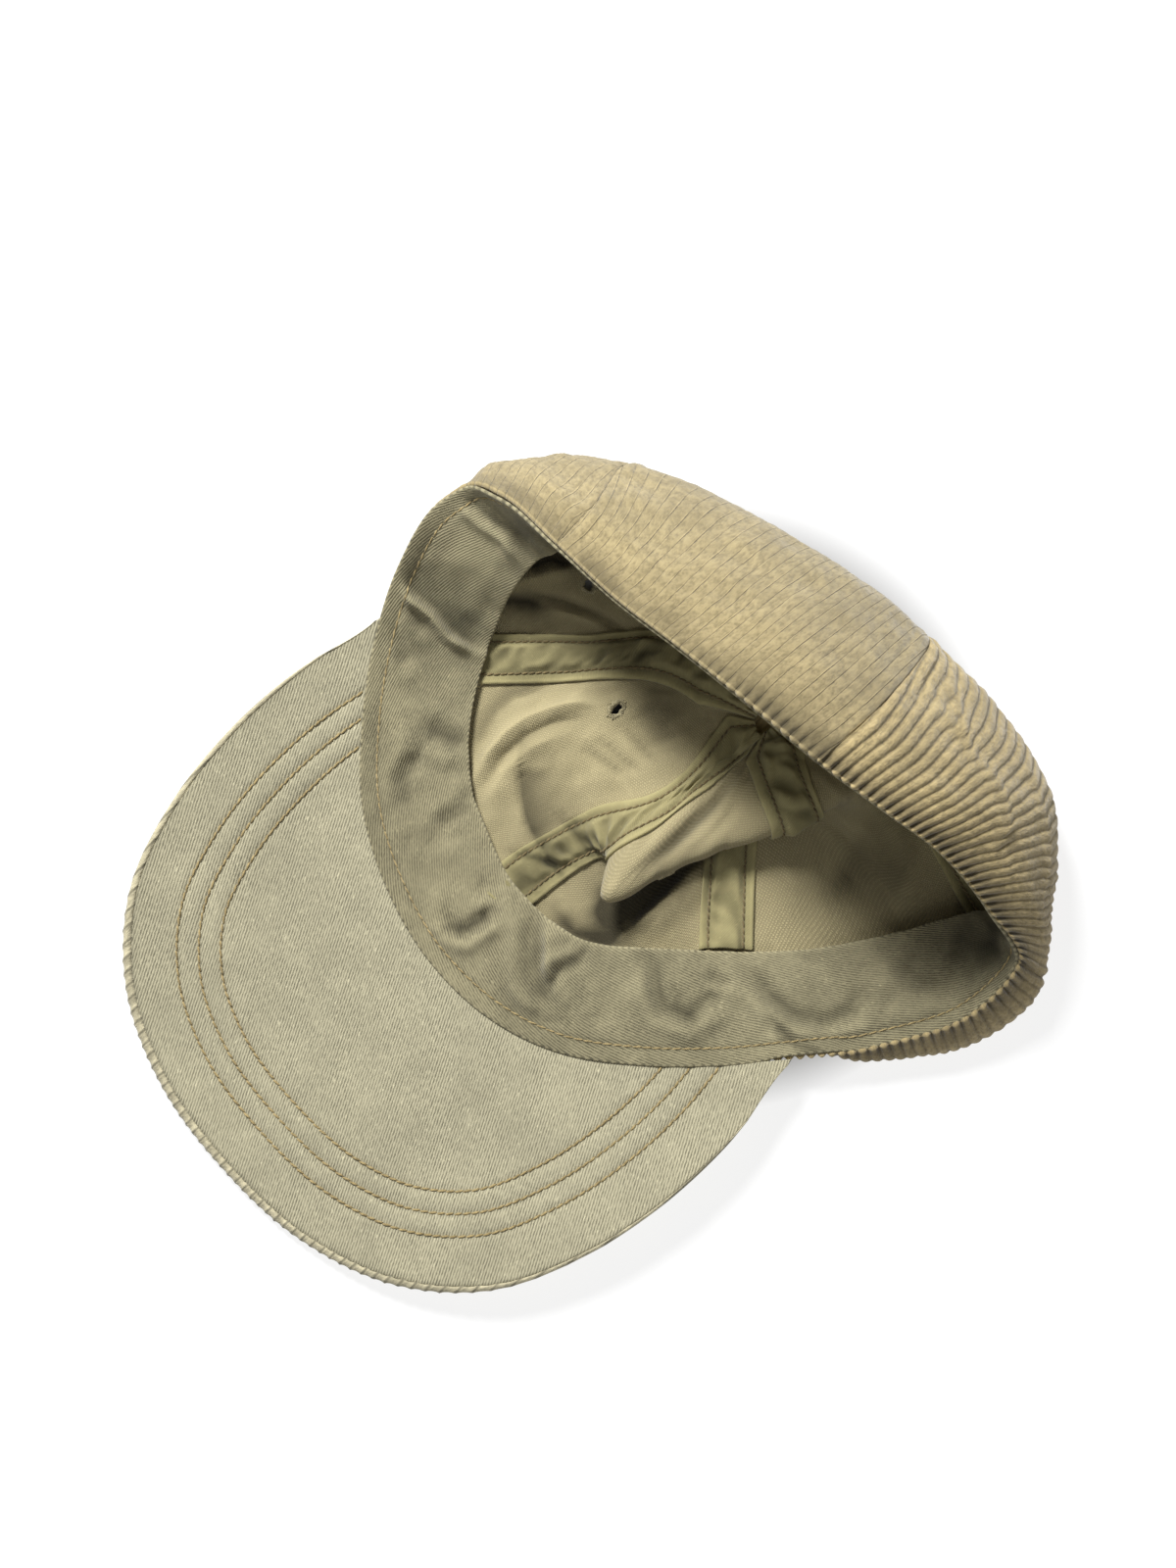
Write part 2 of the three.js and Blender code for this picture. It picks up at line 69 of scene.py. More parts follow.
# Columns: along, rim x, y, z, flank x, y, z, belly x, y, z, foot x, y, z.
SECTION_UPS = np.array([0, 0.14, 0.42, 0.72, 1])
SECTIONS = np.array([
    [-266.5, -3.5, 68.5, 73, -3.5, 86, 67, -5, 125.5, 24, -7.5, 113, -3],
    [-242.3, -26.7, 66.3, 67, -27, 83, 61, -26, 121.5, 22, -17.5, 107.5, -3],
    [-218, -49.8, 64, 59.5, -51, 80, 53, -52, 115, 18, -25.5, 101.5, -3],
    [-193.8, -72.5, 63.9, 52, -75, 78, 44, -81, 103, 10, -32, 95.5, -2],
    [-169.6, -95.2, 63.6, 43, -102, 75, 28, -92, 90, 2, -36.5, 89, -2],
    [-157, -105, 60, 37.5, -108.5, 68, 23, -80, 78, 1, -37, 85.5, 0],
    [-145.4, -108.8, 50.8, 31, -101, 54, 15, -70, 68, 2, -37, 82, 1],
    [-121, -106, 30.5, 18, -92, 38, 7, -60, 57, 1, -34, 77, 2],
    [-96.9, -95.3, 9.8, 10.1, -81, 21, 2, -54, 50, 0.5, -30, 73, 4],
    [-72.7, -80.2, -9, 7, -67.5, 4, 1, -49, 38, 2, -28, 67, 4.5],
    [-48.5, -62.3, -25.5, 4, -52, -9.5, 0, -40, 26, 3, -23, 60, 5],
    [-24.2, -40.8, -36.1, 1.6, -34.5, -17.5, -1, -28, 15, 2, -12, 51, 7],
    [0, -17, -41.6, 0.4, -16, -22, -1, -13.5, 9, 0, 1, 42, 9],
    [24.2, 7, -40.6, 0.8, 5, -21, -1, 8, 4, 0, 6, 48, 13],
    [48.5, 29.5, -32.5, 2.5, 20, -16, 0, 16, 10, 1, 9.5, 56, 13],
    [72.7, 49, -17.5, 5.1, 37, -3, 1, 21, 24, 2, 13, 64, 13],
    [96.9, 65.8, 0.2, 8.2, 52.5, 13.5, 2, 26, 39, 2, 16, 70.5, 13],
    [121, 81, 19.3, 10.5, 75, 25, 3, 40, 52, 1, 19, 76, 13],
    [133, 88.7, 27.7, 11, 92, 26.5, 5, 51, 57, 0, 22, 79, 12],
    [145.4, 95, 38.5, 12, 102.5, 36, 4, 62, 63, -2, 27, 83, 9],
    [169.6, 104.5, 60, 16, 114, 58.5, 6, 76, 75, -2, 35.5, 92, 2],
    [184, 104.5, 73.5, 21, 115, 76, 9, 80, 84, -2, 36, 98, -1],
    [193.8, 102, 81, 25.5, 111, 85, 13, 85, 92, -1, 35, 101, -2],
    [218, 83, 82.5, 41, 92, 95, 32, 90, 105, 9, 30.5, 107, -3],
    [242.3, 63, 81.3, 55, 69, 97, 48, 73, 123.5, 16, 23.5, 112, -3],
    [266.5, 43, 76.2, 67, 46, 92, 61, 45.5, 128, 22, 14, 114.5, -3],
    [290.7, 20.5, 71.2, 74, 21, 88, 68, 17, 127.5, 24, 3.5, 115, -3],
])

# The overhanging fold. Columns: along, formed, crease x, y, nose x, y.
FOLD = np.array([
    [-12, 0, -10, 22, -8, 13],
    [0, 0.16, -5, 24, -6, 12],
    [12, 0.7, 2, 24, 1.5, 7.8],
    [24.2, 1, 8, 22, 7, 7.3],
    [48.5, 1, 7, 36, 13, 25],
    [72.7, 1, 5, 49, 21, 46],
    [96.9, 1, 7, 60, 29.5, 65],
    [121, 1, 16, 70, 33, 76],
    [145.4, 0.6, 26, 79, 37, 83],
    [169.6, 0.1, 35, 86, 42, 90],
    [184, 0, 37, 90, 43, 94],
])
FOLD_LOW = 0.0
FOLD_MIDDLE = 9.0
FOLD_HIGH = 17.0
FOLD_SHOULDER = 0.55
SUMMIT_SHARE = 0.6
SUMMIT_RISE = 0.8

# The sweatband's free edge. Columns: along, free, edge x, y, z.
BAND_EDGE = np.array([
    [-208, 0, -62, 70, 30],
    [-193.8, 0.5, -66, 66, 26],
    [-169.6, 1, -76, 63.5, 30],
    [-157, 1, -78, 58, 27],
    [-145.4, 1, -78, 51, 20],
    [-121, 1, -76, 41, 9],
    [-96.9, 1, -70.5, 29.5, 4.6],
    [-72.7, 1, -58.5, 12.5, 4.2],
    [-48.5, 1, -46, 1.5, 4.2],
    [-24.2, 1, -31.5, -5, 4.2],
    [0, 1, -15.5, -9.5, 4.2],
    [24.2, 1, 3, -8.6, 6.5],
    [48.5, 1, 15.5, -3.5, 7.5],
    [72.7, 1, 29, 9, 7.5],
    [96.9, 1, 43, 22.5, 7],
    [121, 1, 56.5, 37.5, 7],
    [145.4, 1, 68, 54, 7],
    [169.6, 1, 78, 72, 8.5],
    [184, 1, 81.5, 79, 10.5],
    [193.8, 1, 84, 83.5, 12],
    [206, 0.6, 82, 88, 14],
    [220, 0, 80, 90, 20],
])

# The bill, from one place on the rim to another, and half of its outline. Columns: distance off its
# axis, y. It leans to one side and curls up at both, and its cover wraps further round its left edge.
BILL_AXIS = -10.5
BILL_FROM = -103.5
BILL_TO = 115.5
BILL_EDGE = np.array([
    [91, 4], [93.7, -18], [93.5, -40], [89.3, -66],
    [78.6, -92.8], [57.5, -114], [30.2, -125.4], [0, -128.4],
])
BILL_LEAN = -1.4
BILL_LENGTH = 132.0
BILL_CURL = 12.0
BILL_FLAT = 12.0
BILL_REACH = 94.0
COVER = 2.4
LINING = 1.1
WRAP_LEFT = 3.4
WRAP_RIGHT = 1.4
BILL_CREST = COVER + GAP + LINING
# How short the bill becomes at its corners, and over which share of its width.
CORNER = 0.12
CORNER_SHARE = 0.03

# Columns: name, seam at its left, eyelet along, eyelet up, groove depth, roundness, mesh columns and rows.
PANELS = [
    ("back_left", 0, -242.3, 0.6, 0.14, 0.5, 250, 90),
    ("side_left", 1, -144.5, 0.45, 0.28, 0.3, 200, 84),
    ("front_left", 2, -52.0, 0.6, 0.5, 0.6, 180, 84),
    ("front_right", 3, 48.5, 0.61, 0.5, 0.6, 180, 84),
    ("side_right", 4, 150.0, 0.7, 0.6, 0.8, 200, 84),
    ("back_right", 5, 242.3, 0.6, 0.52, 0.9, 250, 90),
]
TAPES = ["back", "back_left", "front_left", "front", "front_right", "back_right"]
FLAT_PANELS = (0, 1)
BEADED_FROM = 4
PANEL_SPACE = 0.03
LEAST_STRETCH = 0.02
ALONG_STEP = 0.6
UP_STEP = 0.004

# Cloth. The rows are distances from a seam, from the rim and from the bill's outline. Each seam's
# pieces take their weave from a place of their own, shifted by CLOTH_SHIFT.
WALE_PITCH = 3.175
CLOTH_SHIFT = 40.0
SEAM_ROWS = 5.2
SEAM_PILLOW = 2.7
BAND_WIDTH = 32.0
BAND_ROW = 3.9
BILL_STITCHES = [15.6, 21.95, 28.3]
STITCH = 2.5
THREAD = 0.36
LIP = 0.9
# How far the creases inside the crown and in the band rise, and how strongly the shade and light painted
# along them show.
INSIDE_RISE = 1.25
INSIDE_PAINTED_LIGHT = 1.4
BAND_RISE = 2.1
BAND_PAINTED_LIGHT = 1.5
DEEPEST = 1.3
BAND_SLACK = 2.4
LATTICE = 24

# Points in the half round that closes a wall's edge.
ROLL = 4

# Creases in the crown as seen from its inner side. Columns: rise, width at the line's left, width at its
# right, painted light along the line (minus for painted shade), and the line's along and up in turn.
# Rows with no rise only paint shade and light.
INSIDE_CREASES = [
    (2.4, 2, 3.6, 0.14, [
        -45.9, 0.243, -54.3, 0.281, -59.7, 0.322, -62.7, 0.367, -63.9, 0.423, -62.1, 0.498,
        -56.7, 0.554]),
    (-1.8, 4, 2.4, -0.34, [
        -59.1, 0.251, -67.5, 0.266, -74.1, 0.288, -79.5, 0.315, -82, 0.4]),
    (-1.1, 1.4, 1.8, -0.2, [-43, 0.28, -50.5, 0.325, -55, 0.38, -56.3, 0.44, -53.5, 0.5]),
    (1.3, 2.6, 3.6, 0.1, [-36, 0.27, -43.5, 0.325, -48, 0.39, -48.5, 0.46]),
    (-2.2, 9, 0.9, -0.55, [-42.3, 0.367, -30.3, 0.367, -16.5, 0.363, -5.7, 0.36]),
    (-1.5, 5.5, 5.5, -0.3, [-53.1, 0.663, -38, 0.71, -27, 0.73]),
    (0, 8, 8, -0.22, [-66, 0.66, -53.1, 0.72, -38, 0.76]),
    (-0.9, 1, 1.3, -0.24, [-36.3, 0.536, -26, 0.588, -20, 0.615]),
    (-0.9, 1, 1.3, -0.24, [-38.1, 0.569, -26, 0.62, -20, 0.65]),
    (-0.8, 1, 1.3, -0.2, [-42, 0.62, -28, 0.665, -21, 0.69]),
    (-2.2, 3.6, 1.2, -0.42, [-9.5, 0.445, -3.3, 0.461, 4.5, 0.438, 9.9, 0.385]),
    (0, 7, 7, -0.3, [-4, 0.41, -0.9, 0.322, 0.9, 0.232]),
    (-1.2, 1.1, 1.1, -0.3, [-13, 0.28, -7, 0.3, -1, 0.33, 5, 0.33, 10, 0.3]),
    (-1.1, 1.2, 2.6, -0.26, [31.5, 0.712, 35.1, 0.753, 39.9, 0.786, 41.1, 0.824]),
    (-0.8, 1.2, 2, -0.22, [36.5, 0.722, 40.5, 0.76, 45.5, 0.79, 48, 0.82]),
    (-0.7, 1.2, 2, -0.18, [25.5, 0.7, 28.5, 0.74, 32, 0.775, 34, 0.81]),
    (4, 1.5, 9, 0.05, [54.3, 0.251, 62.7, 0.285, 72.9, 0.307, 85.5, 0.318]),
    (-1.5, 7, 0.7, -0.5, [52, 0.25, 61, 0.285, 71, 0.307, 85.5, 0.322]),
    (0, 7, 7, -0.85, [20, 0.33, 27.9, 0.311, 44, 0.345, 60, 0.355]),
    (-1.5, 2.5, 4, -0.62, [14.7, 0.232, 25.5, 0.213, 42.9, 0.225, 56.7, 0.213]),
    (-1.5, 3.5, 3.5, -0.45, [17.7, 0.352, 29.7, 0.3, 45, 0.26]),
    (2.6, 3.8, 1.6, 0.1, [-129.3, 0.255, -138.3, 0.303, -144.3, 0.371, -148.5, 0.42]),
    (-1.6, 3, 3, -0.95, [
        -141.5, 0.295, -145.6, 0.325, -147.8, 0.35, -147.8, 0.375, -147, 0.405]),
    (-2.2, 2.4, 2.8, -0.66, [-121, 0.24, -125.5, 0.27, -128, 0.31, -128.1, 0.345]),
    (-1.2, 1.2, 1.8, -0.28, [-132.9, 0.307, -135.3, 0.389, -133.5, 0.479, -119.7, 0.566]),
    (0.9, 2, 2, 0.08, [-127.5, 0.35, -128.5, 0.43, -122, 0.52]),
    (0, 7, 7, -0.26, [-96.9, 0.24, -96.9, 0.45, -96.9, 0.72]),
    (0, 13, 13, -0.34, [144.9, 0.401, 168.3, 0.461]),
    (-1.8, 4.5, 4.5, -0.3, [134.7, 0.315, 145.5, 0.367]),
    (0, 12, 12, -0.45, [180.9, 0.412, 190, 0.38]),
]

# Creases in the crown's outer side, with the same columns.
OUTSIDE_CREASES = [
    (0.7, 2.2, 3.2, 0, [
        281.1, 0.285, 276.9, 0.262, 271.5, 0.262, 265.5, 0.243, 259.5, 0.24, 253.5, 0.221,
        244.5, 0.176, 239.7, 0.112, 233.7, 0.105]),
    (0.6, 2, 3, 0, [281.1, 0.348, 278.1, 0.315, 275.7, 0.3, 269.7, 0.258]),
    (0.5, 2, 3, 0, [252, 0.33, 243, 0.29, 232, 0.26, 222, 0.2, 214, 0.14]),
    (-0.5, 2.5, 2.5, 0, [226, 0.3, 217, 0.25, 208, 0.17]),
]

# Creases in the sweatband, with the same columns but with the way down the band in place of up.
BAND_CREASES = [
    (-1.7, 1.1, 2.4, -0.6, [-1.5, 0.33, 1.5, 0.424, 2.4, 0.58, 2.6, 0.68]),
    (-0.6, 1.5, 1.5, -0.22, [-6.3, 0.356, -0.9, 0.322, 4.5, 0.339]),
    (-1.2, 2, 3, -0.3, [15.9, 0.966, 27.9, 0.61, 35.1, 0.424, 40.5, 0.373]),
    (1, 2.5, 2, 0.08, [21.5, 0.966, 32.5, 0.66, 39.5, 0.5]),
    (-0.9, 1.4, 2, -0.22, [44.7, 0.983, 44.7, 0.814, 38.1, 0.644, 37.5, 0.373]),
    (-1.3, 1.3, 2.6, -0.34, [
        69.9, 0.932, 73.5, 0.797, 75.9, 0.61, 78.3, 0.492, 85.5, 0.441, 92.7, 0.593]),
    (-0.7, 1.6, 1.6, -0.16, [91.5, 0.797, 98.7, 0.695]),
    (-1.3, 1.3, 2.8, -0.4, [
        106.5, 0.814, 112.5, 0.593, 119.1, 0.407, 127.5, 0.305, 136.5, 0.39, 138.9, 0.508]),
    (-1.1, 1, 2, -0.5, [112.5, 0.322, 117.9, 0.085, 125.7, 0]),
    (-0.7, 3, 3, -0.12, [20.1, 0.203, 32.1, 0.169, 41.7, 0.169, 54.3, 0.288]),
    (-0.9, 1.5, 2.6, -0.24, [-63.3, 0.559, -54.3, 0.407, -42.3, 0.373]),
    (-0.8, 1.8, 2.4, -0.16, [-36.9, 0.966, -35.7, 0.746, -33.3, 0.627]),
    (-1.3, 2.6, 3.2, -0.34, [-71.7, 0.6, -69.3, 0.814, -66, 0.983]),
    (-1, 3, 1.6, -0.26, [-152.5, 0, -154.3, 0.305, -158.5, 0.593, -158.5, 0.932]),
    (0, 5, 5, -0.22, [-168, 0.3, -169.7, 0.712]),
    (0, 14, 14, 0.5, [-138, 0.25, -145, 0.8]),
    (-2.4, 6.5, 1.5, -0.38, [
        -120.9, 0.017, -116.1, 0.203, -113.7, 0.441, -107.7, 0.661, -103.5, 0.932]),
    (0, 4.5, 4.5, -0.3, [-115.5, 0.661, -113, 0.85]),
    (-0.6, 1.3, 1.8, -0.16, [-101.1, 0.153, -94.5, 0.254, -90.9, 0.322]),
    (-0.6, 1.3, 1.8, -0.14, [-109.5, 0.203, -104.1, 0.373]),
    (-1, 2.5, 2.5, -0.14, [-6.5, 0.72, -5, 0.77]),
    (-0.5, 1.4, 2, -0.12, [80.7, 0.644, 91.5, 0.203]),
    (-1, 3.5, 3.5, -0.26, [154.5, 0.797, 160.5, 0.508, 167.1, 0.39]),
    (0, 9, 9, -0.5, [176, 0.85, 186.9, 0.5, 198, 0.35]),
    (0, 9, 9, -0.35, [205, 0.5, 222, 0.5]),
]

# The hole in a panel, and how far from the eyelet's middle its cells are looked for.
HOLE = 2.1
HOLE_ALONG = 8.0
HOLE_UP = 0.06
EYELET_BORE = 1.45
EYELET_REACH = 3.4
EYELET_THREADS = 26


def mix(a, b, t):
    return a + (b - a) * t


def length(v):
    return np.linalg.norm(v, axis=-1)


def unit(v):
    return v / np.maximum(length(v)[..., None], 1e-9)


def shares(count):
    return np.linspace(0, 1, count + 1)


def travelled(points):
    """The distance along a line of points, at each of them."""
    return np.concatenate([[0], np.cumsum(length(np.diff(points, axis=0)))])


def bell(distance, width):
    return np.exp(-(distance / width) ** 2)


def step(value, low, high):
    """0 below low, 1 above high, and smooth between."""
    t = np.clip((value - low) / (high - low), 0, 1)
    return t * t * (3 - 2 * t)


def tangents_at_keys(keys, values):
    """Slopes at the keys of a smooth curve. values has the keys along its first axis."""
    steps = np.diff(keys).reshape((-1,) + (1,) * (values.ndim - 1))
    slopes = np.diff(values, axis=0) / steps
    middle = (slopes[:-1] * steps[1:] + slopes[1:] * steps[:-1]) / (steps[:-1] + steps[1:])
    return np.concatenate([slopes[:1], middle, slopes[-1:]])


def curve(keys, values, at, pick):
    """A smooth curve through values at keys. pick takes each element's value at its own key."""
    slopes = tangents_at_keys(keys, values)
    i = np.clip(np.searchsorted(keys, at, side="right") - 1, 0, len(keys) - 2)
    span = (keys[i + 1] - keys[i])[..., None]
    t = (at - keys[i])[..., None] / span
    return ((2 * t ** 3 - 3 * t ** 2 + 1) * pick(values, i)
            + (t ** 3 - 2 * t ** 2 + t) * span * pick(slopes, i)
            + (3 * t ** 2 - 2 * t ** 3) * pick(values, i + 1)
            + (t ** 3 - t ** 2) * span * pick(slopes, i + 1))


def picked(source, index):
    return np.take_along_axis(source, index[None, ..., None], axis=0)[0]


def through(table, at, period=0.0):
    """Rows of a table at places between its keys, on a smooth curve."""
    keys, values = table[:, 0], table[:, 1:]
    if period:
        at = keys[0] + np.mod(at - keys[0], period)
        keys = np.concatenate([keys[-1:] - period, keys, keys[:2] + period])
        values = np.concatenate([values[-1:], values, values[:2]])
    else:
        at = np.clip(at, keys[0], keys[-1])
    return curve(keys, values, at, lambda source, index: source[index])


def along_points(keys, points, at):
    """A smooth curve through a list of point arrays, each element at its own place."""
    return curve(keys, np.stack(points), at, picked)


def rounded(points, at):
    """A rounded path that is drawn towards its points, from the first to the last."""
    first = 2 * points[0] - points[1]
    last = 2 * points[-1] - points[-2]
    values = np.stack([first, *points, last])
    n = len(points) - 1
    place = np.clip(at, 0, 1) * n
    i = np.minimum(place.astype(int), n - 1)
    t = (place - i)[..., None]
    weights = [(1 - t) ** 3, 3 * t ** 3 - 6 * t ** 2 + 4, -3 * t ** 3 + 3 * t ** 2 + 3 * t + 1, t ** 3]
    total = 0
    for k, weight in enumerate(weights):
        total = total + weight / 6 * picked(values, i + k)
    return total


def rest(z):
    """Heights that come to lie softly on the table where they would go through it."""
    return np.where(np.abs(z) < SOFTNESS, (z + SOFTNESS) ** 2 / (4 * SOFTNESS), np.maximum(z, 0))


def round_rim(along):
    return np.where(along > RIM_LENGTH / 2, along - RIM_LENGTH, along)


def crown(along, up):
    """The crown's outer face."""
    along, up = np.broadcast_arrays(np.asarray(along, float), np.asarray(up, float))
    around = round_rim(along)
    row = through(SECTIONS, around, RIM_LENGTH)
    rim, flank, belly, foot = (row[..., k:k + 3] for k in (0, 3, 6, 9))
    apex = np.broadcast_to(APEX, rim.shape)
    place = along_points(SECTION_UPS, [rim, flank, belly, foot, apex], up)
    near = (around > FOLD[0, 0]) & (around < FOLD[-1, 0])
    if near.any():
        row = through(FOLD, around)
        formed = np.where(near, np.clip(row[..., 0], 0, 1), 0)[..., None]

        def level(columns, z):
            return np.concatenate([columns, np.full(columns.shape[:-1] + (1,), z)], axis=-1)

        summit = level(mix(foot, apex, SUMMIT_SHARE)[..., :2], APEX[2] + SUMMIT_RISE)
        crease, nose = row[..., 1:3], row[..., 3:5]
        folded = rounded([
            rim, flank, mix(flank, belly, FOLD_SHOULDER), belly, level(crease, FOLD_LOW),
            level(crease, FOLD_MIDDLE), level(nose, FOLD_MIDDLE), level(nose, FOLD_HIGH), foot, summit, apex,
        ], up)
        place = mix(place, folded, formed)
    return np.concatenate([place[..., :2], rest(place[..., 2:])], axis=-1)


def directions(along, up):
    """Directions along the rim and up the crown, and the unit normal that points to the inside."""
    low = np.maximum(up - UP_STEP, 0)
    high = np.minimum(up + UP_STEP, 0.999)
    across = (crown(along + ALONG_STEP, up) - crown(along - ALONG_STEP, up)) / (2 * ALONG_STEP)
    upward = (crown(along, high) - crown(along, low)) / (high - low)[..., None]
    return across, upward, unit(np.cross(across, upward))


def stretch_of(across):
    """How much wider than at the rim the crown's surface is, from the direction along the rim."""
    return np.maximum(length(across), LEAST_STRETCH)


def above(points, low=0.0):
    """The points, with none of them lower than a level."""
    points[..., 2] = np.maximum(points[..., 2], low)
    return points


def noise(points, size, seed):
    """Smooth noise from -1 to 1 with features of about that size."""
    values = np.random.default_rng(seed).uniform(-1, 1, (LATTICE,) * 3)
    place = np.asarray(points) / size
    base = np.floor(place).astype(int)
    t = place - base
    t = t * t * (3 - 2 * t)
    total = np.zeros(place.shape[:-1])
    for corner in range(8):
        bits = [(corner >> k) & 1 for k in range(3)]
        weight = 1.0
        index = []
        for k, bit in enumerate(bits):
            weight = weight * (t[..., k] if bit else 1 - t[..., k])
            index.append((base[..., k] + bit) % LATTICE)
        total += weight * values[tuple(index)]
    return total


def stacked(*columns):
    return np.stack(np.broadcast_arrays(*columns), axis=-1).astype(float)


def line_reach(points, line):
    """Distance from points to a line in space, its side in plan (left is plus), and the share along it."""
    best = np.full(points.shape[:-1], 1e9)
    side = np.ones(points.shape[:-1])
    share = np.zeros(points.shape[:-1])
    lengths = length(np.diff(line, axis=0))
    starts = travelled(line)
    for k, (a, b) in enumerate(zip(line[:-1], line[1:])):
        way = b - a
        t = np.clip(((points - a) @ way) / lengths[k] ** 2, 0, 1)
        distance = length(points - (a + t[..., None] * way))
        closer = distance < best
        cross = way[0] * (points[..., 1] - a[1]) - way[1] * (points[..., 0] - a[0])
        best = np.where(closer, distance, best)
        side = np.where(closer, cross, side)
        share = np.where(closer, (starts[k] + t * lengths[k]) / starts[-1], share)
    return best, side, share


def creased(points, creases, surface, echo=0.0, power=2.0):
    """How far creases raise a surface, and the shade and light painted along them.

    An echo is the share of its height with which each one comes back, turned over, at its right.
    A lower power makes them sharper. All of them fade towards the ends of their lines."""
    rise = np.zeros(points.shape[:-1])
    tone = np.zeros(points.shape[:-1])
    for height, left, right, shade, line in creases:
        distance, side, share = line_reach(points, surface(*np.array(line, float).reshape(-1, 2).T))
        fade = 0.4 + 0.6 * step(share, 0, 0.2) * (1 - step(share, 0.8, 1))
        form = np.exp(-(distance / np.where(side > 0, left, right)) ** power) * fade
        rise += height * form
        tone += shade * form
        if echo:
            beside = bell(distance - 2.1 * right, 1.1 * right) * (side <= 0) * fade
            rise -= echo * height * beside
            tone -= echo * 0.4 * shade * beside
    return rise, tone


def ribs(phase, power):
    """Wales: 0 in the grooves and 1 on the crests. A lower power makes them rounder."""
    return np.abs(np.sin(np.pi * phase)) ** power


def wale_taper(up):
    """How much of its width at the rim a panel still has, cut flat."""
    return np.maximum(1 - up ** 2.2, 0.02) ** 0.75


# Meshes

def add_object(name, data):
    item = bpy.data.objects.new(name, data)
    bpy.context.scene.collection.objects.link(item)
    return item


def make_piece(name, points, faces, materials, replaced, layers):
    """One object from points in millimetres, lists of (faces, material number) and vertex layers."""
    mesh = bpy.data.meshes.new(name)
    places = ((points + CENTRE_SHIFT) * MM).reshape(-1, 3)
    rows = [row for group, _ in faces for row in group.tolist()]
    numbers = [number for group, number in faces for _ in group]
    mesh.from_pydata(places.tolist(), [], rows)
    for material in materials:
        mesh.materials.append(MATERIALS[material])
    mesh.polygons.foreach_set("material_index", numbers)
    mesh.polygons.foreach_set("use_smooth", [True] * len(rows))
    for layer, values in layers.items():
        flat = np.asarray(values, float)
        kind, key = ("FLOAT", "value") if flat.ndim == points.ndim - 1 else ("FLOAT_VECTOR", "vector")
        attribute = mesh.attributes.new(layer, kind, "POINT")
        attribute.data.foreach_set(key, flat.reshape(-1))
    mesh.update()
    piece = add_object(name, mesh)
    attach(piece, "root")
    if replaced:
        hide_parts(*replaced)


def grid_faces(columns, count, wrapped=True, closed=True):
    """Faces between columns of points. wrapped joins the last column to the first, closed each one's ends."""
    i = np.arange(columns if wrapped else columns - 1)[:, None]
    p = np.arange(count if closed else count - 1)[None, :]
    a, b = i * count, (i + 1) % columns * count
    q = (p + 1) % count
    return np.stack(np.broadcast_arrays(a + p, b + p, b + q, a + q), axis=-1).reshape(-1, 4)


def loop_faces(columns, count, rows, wrapped, cut=None):
    """Faces of a wall whose sections are closed loops: first rows, a roll, second rows and a roll.

    cut marks the cells that are left out of both sides for a hole, whose walls count as edges.
    Returns the faces of the first side, of the second side and of the edges."""
    def at(i, p):
        return (i % columns) * count + p % count

    last = 2 * rows + 1 + ROLL
    spans = np.arange(columns if wrapped else columns - 1)[:, None]

    def strip(p):
        i, k = np.broadcast_arrays(spans, p[None, :])
        return np.stack([at(i, k), at(i, k + 1), at(i + 1, k + 1), at(i + 1, k)], axis=-1)

    first = strip(np.arange(rows))
    second = strip(np.arange(rows + 1 + ROLL, last))[:, ::-1]
    edges = [strip(np.arange(rows, rows + 1 + ROLL)).reshape(-1, 4),
             strip(np.arange(last, last + 1 + ROLL)).reshape(-1, 4)]
    if cut is not None and cut.any():
        padded = np.pad(cut, 1)
        sides = [((0, 0), (0, 1), (0, 1)), ((0, 1), (1, 1), (1, 2)),
                 ((1, 1), (1, 0), (2, 1)), ((1, 0), (0, 0), (1, 0))]
        for a, b, (row, column) in sides:
            beyond = padded[row:row + cut.shape[0], column:column + cut.shape[1]]
            cells = np.argwhere(~cut & beyond)
            start, end = cells + a, cells + b
            edges.append(np.stack([
                at(end[:, 0], end[:, 1]), at(start[:, 0], start[:, 1]),
                at(start[:, 0], last - start[:, 1]), at(end[:, 0], last - end[:, 1]),
            ], axis=-1))
        first, second = first[~cut], second[~cut]
    if not wrapped:
        p = np.arange(-(ROLL // 2), rows + ROLL // 2)
        edges.append(np.stack([at(0, p + 1), at(0, p), at(0, last - p), at(0, last - p - 1)], axis=-1))
        end = columns - 1
        edges.append(np.stack([
            at(end, p), at(end, p + 1), at(end, last - p - 1), at(end, last - p)], axis=-1))
    return first.reshape(-1, 4), second.reshape(-1, 4), np.concatenate(edges)


def rolled(start, end, outward, bulge):
    """Points of a half round between two edge points, standing out by half their distance."""
    half = length(end - start)[..., None] / 2 * bulge
    angles = np.pi * (np.arange(ROLL) + 1) / (ROLL + 1)
    middle = (start + end) / 2
    return np.stack([
        middle + (start - middle) * math.cos(a) + outward * half * math.sin(a) for a in angles
    ], axis=-2)


def walled(first, second, first_edge, last_edge, first_bulge=1.0, last_bulge=1.0):
    """Section loops from both sides of a wall and the directions in which its two edges face."""
    return np.concatenate([
        first, rolled(first[:, -1], second[:, -1], last_edge, last_bulge),
        second[:, ::-1], rolled(second[:, 0], first[:, 0], first_edge, first_bulge)], axis=1)


def looped(first, second=None, first_edge=None):
    """A layer's values round the section loops of a wall."""
    second = first if second is None else second
    first_edge = first[:, :1] if first_edge is None else first_edge[:, None]
    return np.concatenate([
        first, np.repeat(second[:, -1:], ROLL, axis=1),
        second[:, ::-1], np.repeat(first_edge, ROLL, axis=1)], axis=1)


def make_wall(name, points, rows, wrapped, material, replaced, layers):
    """One object from section loops, all in one material."""
    faces = loop_faces(len(points), points.shape[1], rows, wrapped)
    make_piece(name, points, [(group, 0) for group in faces], [material], replaced, layers)


